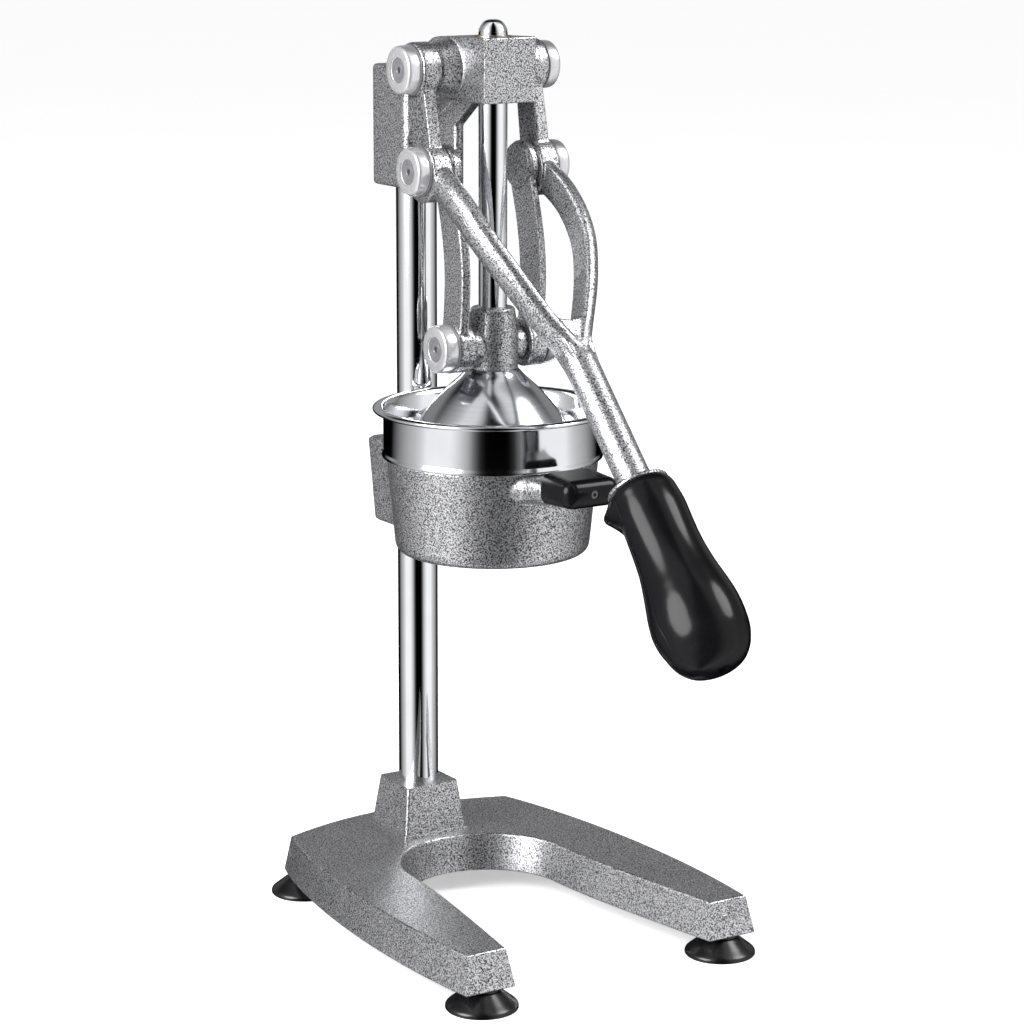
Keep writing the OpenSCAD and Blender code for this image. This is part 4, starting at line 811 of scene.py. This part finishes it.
yoke = {"armW": 17.6, "armT": 9.5, "eyeR": 14.0, "eyeEdge": 1.0, "flatT": 7.0, "flatTop": 7.5,
        "flatLow": 9.5, "shaftR": 8.8, "shaftL": 74.0, "flangeR": 16.0, "flangeT": 2.0,
        "step": 0.6, "faceR": 12.0, "saddleR": 14.5, "saddleDrop": 1.8, "crotchShare": 0.84,
        "webR": (8.62, 7.92), "slabHalf": 7.0, "slabBow": 0.0046, "slabOver": 10.5,
        "slabFoot": (6, -4), "slabWaist": 8, "slabEdge": 0.5,
        "notch": (12.0, 9.0, 10.0), "grain": 0.63, "relax": 3,
        "path": [[1, 0, 0, 1], [1.03, 0.295, 0.154, 1], [0.94, 0.523, 0.354, 1],
                 [0.68, 0.697, 0.577, 1], [0.32, 0.849, 0.821, 0.96], [0.09, 0.96, 0.955, 0.9],
                 [0, 1.06, 1.07, 0.8]],
        "section": [[-0.5, -0.38], [-0.42, -0.47], [-0.26, -0.5], [0, -0.48], [0.24, -0.41],
                    [0.42, -0.28], [0.5, -0.1], [0.5, 0.1], [0.42, 0.28], [0.24, 0.41],
                    [0, 0.48], [-0.26, 0.5], [-0.42, 0.47], [-0.5, 0.38]]}


# A fork arm: its section is carried along a smooth line that runs in to the knee, square to
# the line as seen from the side. A row of the path holds the shares of the way in X, ahead and
# down, and the section's scale.
def forkArm(k, side):
    (e0, z0), (e1, z1) = place["midPivot"], place["knee"]
    armX = sum(place["eyeX"]) / 2
    s = smoothLine(k["path"], 6)
    line = np.stack([side * s[:, 0] * armX, -e0 - s[:, 1] * (e1 - e0),
                     z0 - s[:, 2] * (z0 - z1)], 1)
    along = np.gradient(line, axis=0)
    wide = np.stack([np.zeros(len(s)), -along[:, 2], along[:, 1]], 1)
    wide /= np.linalg.norm(wide, axis=1)[:, None]
    section, scale = np.asarray(k["section"]), s[:, None, 3:]
    points = (line[:, None] + wide[:, None] * (section[None, :, 1:] * k["armW"] * scale)
              + np.array([side, 0, 0]) * (section[None, :, :1] * k["armT"] * scale))
    return gridShape(points + np.array([0, midY, 0]))


# The web between the arms: a tapered round bar from the knee to the crotch, and a slab that
# ends in an elliptical notch and bends with the square of the way up, as the arms do.
def forkWeb(k):
    (eA, zA), knee = place["midPivot"], np.array(place["knee"])
    run = np.array([eA, zA]) + k["crotchShare"] * (knee - np.array([eA, zA])) - knee
    length = np.linalg.norm(run)
    ahead, up = run / length
    p, faces = turned([[k["webR"][0], 0], [k["webR"][1], length]], 40)
    bar = (np.stack([p[:, 0], midY - (knee[0] + p[:, 2] * ahead - p[:, 1] * up),
                     knee[1] + p[:, 2] * up + p[:, 1] * ahead], 1), faces)
    wide, deep, above = k["notch"]
    a = np.linspace(-math.pi / 2, math.pi / 2, 17)
    notch = np.stack([-wide * np.sin(a), length + above - deep * np.cos(a)], 1)
    tip, waist = [wide + k["slabEdge"], length + k["slabOver"]], [k["slabWaist"], length / 2]
    footX, footZ = k["slabFoot"]
    edge = np.vstack([[[-footX, footZ], [footX, footZ], waist, tip], notch,
                      [[-tip[0], tip[1]], [-waist[0], waist[1]]]])
    x, way = edge.T
    sides = []
    for half in (-k["slabHalf"], k["slabHalf"]):
        w = half - k["slabBow"] * way ** 2
        sides.append(np.stack([x, midY - (knee[0] + way * ahead - w * up),
                               knee[1] + way * up + w * ahead], 1))
    return [gridShape(np.stack(sides)), bar]


# A half circle turned about its own axis.
def ball(r, ahead, z, segments=40):
    a = np.linspace(-math.pi / 2, math.pi / 2, segments // 2)
    return carried(turned(np.stack([r * np.cos(a), r * np.sin(a)], 1), segments), ahead, z)


# The fork: a shaft with a ball at the knee, the web, and on either side an arm, a flat from
# the fixed pivot to the middle one, an eye at each, and a raised face and a saddle at the
# middle one.
def makeYoke(k):
    top, low = np.array(place["headPivot"]), np.array(place["midPivot"])
    x0, x1 = place["eyeX"]
    flatX = (x0 + x1) / 2
    down = (low - top) / np.linalg.norm(low - top)
    wide = np.array([-down[1], down[0]])
    flat = np.array([top - wide * k["flatTop"], low - wide * k["flatLow"],
                     low + wide * k["flatLow"], top + wide * k["flatTop"]])
    shaft = turned([[k["shaftR"], 0], [k["shaftR"], k["shaftL"] + lap]], 64)
    solids = [downLever(shaft), ball(k["shaftR"], *place["knee"]), *forkWeb(k)]
    cuts = []
    for s in (-1, 1):
        eye = barX(k["eyeR"], x0, x1, s, edge=k["eyeEdge"])
        bore = barX(place["pinR"] + place["pinPlay"], x0 - overrun, x1 + overrun, s)
        solids += [forkArm(k, s),
                   plate(flat, s * flatX - k["flatT"] / 2, s * flatX + k["flatT"] / 2),
                   carried(eye, *top), carried(eye, *low),
                   carried(barX(k["faceR"], x0 - k["step"], x0 + lap, s), *low),
                   carried(barX(k["saddleR"], x0, x1, s), low[0], low[1] - k["saddleDrop"])]
        cuts += [carried(bore, *top), carried(bore, *low)]
    flange = turned([[k["flangeR"], 0], [k["flangeR"], k["flangeT"]]], 64)
    solids.append(downLever(flange, k["shaftL"]))
    return casting("leverYoke", solids, cuts, k["grain"], k["relax"])


settle(makeYoke(yoke), paint, "lever", "speckled_paint", "lever_yoke")

grip = {"start": 76.0, "step": 0.585, "guard": 9.3, "guardAt": 5.0, "guardRise": 0.4,
        "guardFall": 13.5, "guardPowers": (1.2, 1.1, 1.25), "around": 72, "seam": 0.22,
        "seamWidth": 0.016, "seamEnds": (3.0, 100.5), "seamFade": 6,
        "seamTurns": (-0.05, -0.03, -0.012, 0, 0.012, 0.03, 0.05),
        "holeR": 2.4, "holeAt": 97.5, "holeDeep": 20,
        "rows": [[0, 15, 15.2], [0.8, 15.9, 16.4], [3.5, 15.9, 17.5], [7.5, 16, 18],
                 [11.5, 16.1, 18.4], [15.5, 16.05, 18.6], [19.5, 16, 18.5], [27.5, 16.5, 18.2],
                 [35.5, 17.1, 18.2], [43.5, 18, 18.7], [51.5, 19.6, 19.7], [59.5, 21.5, 21.1],
                 [67.5, 23.4, 22.3], [75.4, 24.5, 22.7], [81.9, 24, 22.3], [87.3, 22.7, 21.5],
                 [91.5, 21.5, 20.1], [95.5, 19.5, 18.1], [99.5, 15.9, 14.7],
                 [101.9, 11.5, 10.8], [103.1, 7, 7], [103.5, 4.6, 4.6]]}


# Radius by the way down and the angle round. Each row holds the way down, the radius of the
# under side and that of the upper side, and a smooth step of the angle's sine joins the two.
# A finger guard juts out under the top: a power of minus the sine round, and a rise and a fall
# lengthwise, each to a power of its own. A fine moulding seam runs down each side.
def makeGrip(g):
    line = smoothLine(g["rows"], 8)
    seam = np.array(g["seamTurns"])
    even = np.linspace(0, fullTurn, g["around"] + 1)[:-1]
    angle = np.unique(np.round(np.concatenate([even, seam % fullTurn, math.pi + seam]), 6))
    z, under, over = line[:, :1], line[:, 1:2], line[:, 2:]
    sine = np.sin(angle)[None, :]
    t = np.clip((sine + g["step"]) / (2 * g["step"]), 0, 1)
    r = under + (over - under) * t * t * (3 - 2 * t)
    crest = g["guardAt"]
    roundPower, risePower, fallPower = g["guardPowers"]
    rise = np.clip((z + g["guardRise"]) / (crest + g["guardRise"]), 0, 1) ** risePower
    fall = np.clip(1 - (z - crest) / g["guardFall"], 0, 1) ** fallPower
    r = r + g["guard"] * np.clip(-sine, 0, 1) ** roundPower * rise * fall
    off = np.minimum(np.abs(angle - math.pi), np.minimum(angle, fullTurn - angle))
    groove = np.exp(-(off / g["seamWidth"]) ** 2)[None, :]
    (first, last), fade = g["seamEnds"], g["seamFade"]
    r = (r - g["seam"] * groove * np.clip((z - first) / fade, 0, 1)
         * np.clip((last - z) / fade, 0, 1))
    points = np.stack([r * np.cos(angle), r * np.sin(angle), np.broadcast_to(z, r.shape)], -1)
    hole = turned([[g["holeR"], 0], [g["holeR"], g["holeDeep"]]], 40)
    return casting("leverGrip", [downLever(gridShape(points), g["start"])],
                   [downLever(hole, g["start"] + g["holeAt"])])


settle(makeGrip(grip), plastic, "lever", "black_plastic", "lever_grip")

pivots = {"washerR": 13.0, "washerRound": 0.2, "pinBack": 0.6, "pinEdge": (0.3, 0.35),
          "ringR": (4.4, 4.15, 3.85, 3.6), "ringDeep": 0.3, "centreR": 1.6,
          "centreSteps": ((0.4, 0), (0, -0.4), (-0.2, -2.2)), "centreDeep": 2.4,
          "bulge": 0.25, "capSeat": 0.5, "capEnds": (0.15, 1.05),
          "capEdge": ((-0.6, -0.5), (-1.1, -0.12), (-1.7, 0)),
          "capMouth": ((0.9, 0), (0.7, -0.5), (0, -0.5)),
          "head": {"at": place["headPivot"], "body": "stand", "pinFrom": 8.0, "washerX": 38.4,
                   "capX": 39.2, "capT": 6.8},
          "middle": {"at": place["midPivot"], "body": "lever", "pinFrom": 26.4, "washerX": 38.1,
                     "capX": 39.2, "capT": 6.8},
          "collar": {"at": place["lowPivot"], "body": "ram", "pinFrom": 10.6, "washerX": 27.0,
                     "capX": 27.8, "capT": 7.8}}


# Profiles turned about a pivot's axis. A cap is a ring with softened edges and a slightly
# bulged side. A pin's end has a fine ring groove and is dished round a small lathe centre. The
# edges, the mouth and the centre are steps of [radius, way along X] from the corner they soften.
def pivotSet(group, finish, q):
    own = q[group]
    capX, end = own["capX"], own["capX"] + own["capT"]
    pr, cr = place["pinR"], place["capR"]
    t = np.linspace(0, 1, 9)
    near, far = q["capEnds"]
    side = np.column_stack([cr - q["bulge"] * (2 * t - 1) ** 2,
                            capX + near + t * (own["capT"] - (near + far))])
    cap = np.vstack([[[pr, capX], [cr - q["capSeat"], capX]], side,
                     np.add([cr, end], q["capEdge"]), np.add([pr, end], q["capMouth"])])
    tip, centre, first = end - q["pinBack"], q["centreR"], own["pinFrom"]
    r0, r1, r2, r3 = q["ringR"]
    inEdge, outEdge = q["pinEdge"]
    pin = np.vstack([[[0, first], [pr - inEdge, first], [pr, first + inEdge],
                      [pr, tip - outEdge], [pr - outEdge, tip], [r0, tip],
                      [r1, tip - q["ringDeep"]], [r2, tip - q["ringDeep"]], [r3, tip]],
                     np.add([centre, tip], q["centreSteps"]), [[0, tip - q["centreDeep"]]]])
    washer = rounded([[pr, own["washerX"]], [q["washerR"], own["washerX"]], [q["washerR"], capX],
                      [pr, capX]], q["washerRound"], closed=True, steps=3)
    parts = (("cap", turned(cap, 96, ring=True), capSteel, "polished_steel", sharpAngle),
             ("pin", turned(pin, 72), finish, "plain_steel", 25),
             ("washer", turned(washer, 96, ring=True), finish, "plain_steel", sharpAngle))
    for word, way in (("left", -1), ("right", 1)):
        for part, shape, look, slot, sharpDeg in parts:
            made = makeObject(group + part.title() + word.title(),
                              [carried(sideways(shape, way), *own["at"])], sharpDeg)
            settle(made, look, own["body"], slot, f"{group}_{part}_{word}")


for group, finish in (("head", headSteel), ("middle", midSteel), ("collar", lowSteel)):
    pivotSet(group, finish, pivots)
print("pins, caps and washers made")

# the CAD nodes that stay, with their finishes
kept = {"foot_studs": plainSteel, "column_insert": plainSteel, "column_bolt": plainSteel,
        "head_set_screws": darkSteel, "ram_bush_upper": bronze, "ram_bush_lower": bronze,
        "head_plug": paint, "holder_set_screws": darkSteel, "holder_handle_screw": darkSteel,
        "strainer_cone": polished, "collar_set_screw": darkSteel, "bell_nut": plainSteel,
        "grip_screw": plainSteel}
for node, finish in kept.items():
    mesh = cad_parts[node].data
    mesh.materials.clear()
    mesh.materials.append(finish)
print("CAD nodes finished:", len(kept))

ground = {"half": 30.0, "glow": 0.42, "rough": 0.9, "patches": 3.0, "low": (0.90, 0.90, 0.91),
          "high": (0.93, 0.93, 0.94)}


# A wide floor that glows a little and stays out of reflections.
def makeFloor(g):
    h = g["half"]
    mesh = bpy.data.meshes.new("floor")
    mesh.from_pydata([(-h, -h, 0), (h, -h, 0), (h, h, 0), (-h, h, 0)], [], [(0, 1, 2, 3)])
    pale = Finish("paleFloor", roughness=g["rough"], Emission_Color=(1, 1, 1, 1),
                  Emission_Strength=g["glow"])
    pale.feed("Base Color", pale.blend(pale.noise(g["patches"]), g["low"], g["high"]))
    mesh.materials.append(pale.material)
    floor = bpy.data.objects.new("floor", mesh)
    bpy.context.scene.collection.objects.link(floor)
    floor.visible_glossy = False


makeFloor(ground)

# Degrees and shares of brightness: a band's angle is counted from the middle, to either side.
tent = {"middle": -117.28, "soft": 0.6, "shiny": 1.08, "upGrey": 0.3,
        "bands": ((12, 0.0), (18, 0.02), (24, 0.15), (30, 0.42), (37, 0.62), (43, 0.8),
                  (50, 0.95), (78, 0.95), (86, 0.7), (95, 0.55), (104, 0.45), (115, 0.3),
                  (127, 0.12), (137, 0.0)),
        "behind": (100.0, 30.0), "rise": (0.02, 8.0), "fall": (0.6, 5.0)}


# The room: even white for the eye and for soft light, and for reflections a bright tent with
# a dark gap in front of the object and a dark side behind it. The dark side is grey from the
# horizon up to a middle height, for faces that look up.
def makeRoom(t):
    world = bpy.data.worlds.new("tent")
    bpy.context.scene.world = world
    world.use_nodes = True
    world.node_tree.nodes.clear()
    g = Graph(world.node_tree)
    x, y, z = g.split(g.node("ShaderNodeTexCoord", {}, {}).outputs["Generated"])
    turn = y.maths("ARCTAN2", y, x) - math.radians(t["middle"])
    turn = turn.maths("WRAP", turn, math.pi, -math.pi)
    away = turn.maths("ABSOLUTE", turn) * (180 / math.pi)
    stops = [(degrees / 180, (tone, tone, tone)) for degrees, tone in t["bands"]]
    bands = g.node("ShaderNodeValToRGB", {"stops": stops}, {0: away * (1 / 180)})
    rise = (z - t["rise"][0]) * t["rise"][1]
    fall = (t["fall"][0] - z) * t["fall"][1]
    behind = (away - t["behind"][0]) * (1 / t["behind"][1])
    grey = rise.maths("MINIMUM", rise, fall).held() * behind.held() * t["upGrey"]
    tone = grey.maths("MAXIMUM", bands.outputs[0], grey)
    white = (1, 1, 1, 1)
    soft = g.node("ShaderNodeBackground", {}, {0: white, 1: t["soft"]}).outputs[0]
    shiny = g.node("ShaderNodeBackground", {}, {0: tone, 1: t["shiny"]}).outputs[0]
    seen = g.node("ShaderNodeBackground", {}, {0: white, 1: 1.0}).outputs[0]
    ray = g.node("ShaderNodeLightPath", {}, {}).outputs
    lit = g.node("ShaderNodeMixShader", {}, {0: ray["Is Glossy Ray"], 1: soft, 2: shiny})
    whole = g.node("ShaderNodeMixShader", {}, {0: ray["Is Camera Ray"], 1: lit.outputs[0],
                                               2: seen})
    g.node("ShaderNodeOutputWorld", {}, {0: whole.outputs[0]})


makeRoom(tent)

lamps = {"left": {"at": (-1.83, -0.02, 1.0), "size": (1.4, 1.6), "power": 62.0},
         "right": {"at": (1.24, -0.82, 1.68), "size": (1.0, 1.0), "power": 24.0}}
lampAim = (0, 0, 0.28)


# An oval area lamp, turned to face the aim.
def makeLamp(name, p):
    data = bpy.data.lights.new(name, "AREA")
    data.shape, data.energy = "ELLIPSE", p["power"]
    data.size, data.size_y = p["size"]
    lamp = bpy.data.objects.new(name, data)
    bpy.context.scene.collection.objects.link(lamp)
    lamp.location = p["at"]
    x, y, z = np.array(lampAim) - np.array(p["at"])
    lamp.rotation_euler = (math.atan2(math.hypot(x, y), -z), 0, math.atan2(y, x) - math.pi / 2)


for name, look in lamps.items():
    makeLamp(name, look)

view = {"at": (-0.84820, -1.312289, 0.577762), "turn": (77.63678, -0.14758, -32.25078),
        "lens": 109.1546, "sensor": 36.0, "clip": (0.05, 50)}
lens = bpy.data.cameras.new("camera")
lens.lens, lens.sensor_width = view["lens"], view["sensor"]
lens.clip_start, lens.clip_end = view["clip"]
camera = bpy.data.objects.new("camera", lens)
bpy.context.scene.collection.objects.link(camera)
camera.location = view["at"]
camera.rotation_euler = [math.radians(v) for v in view["turn"]]
bpy.context.scene.camera = camera
bpy.context.scene.view_settings.view_transform = "Standard"
print("floor, light and camera set")
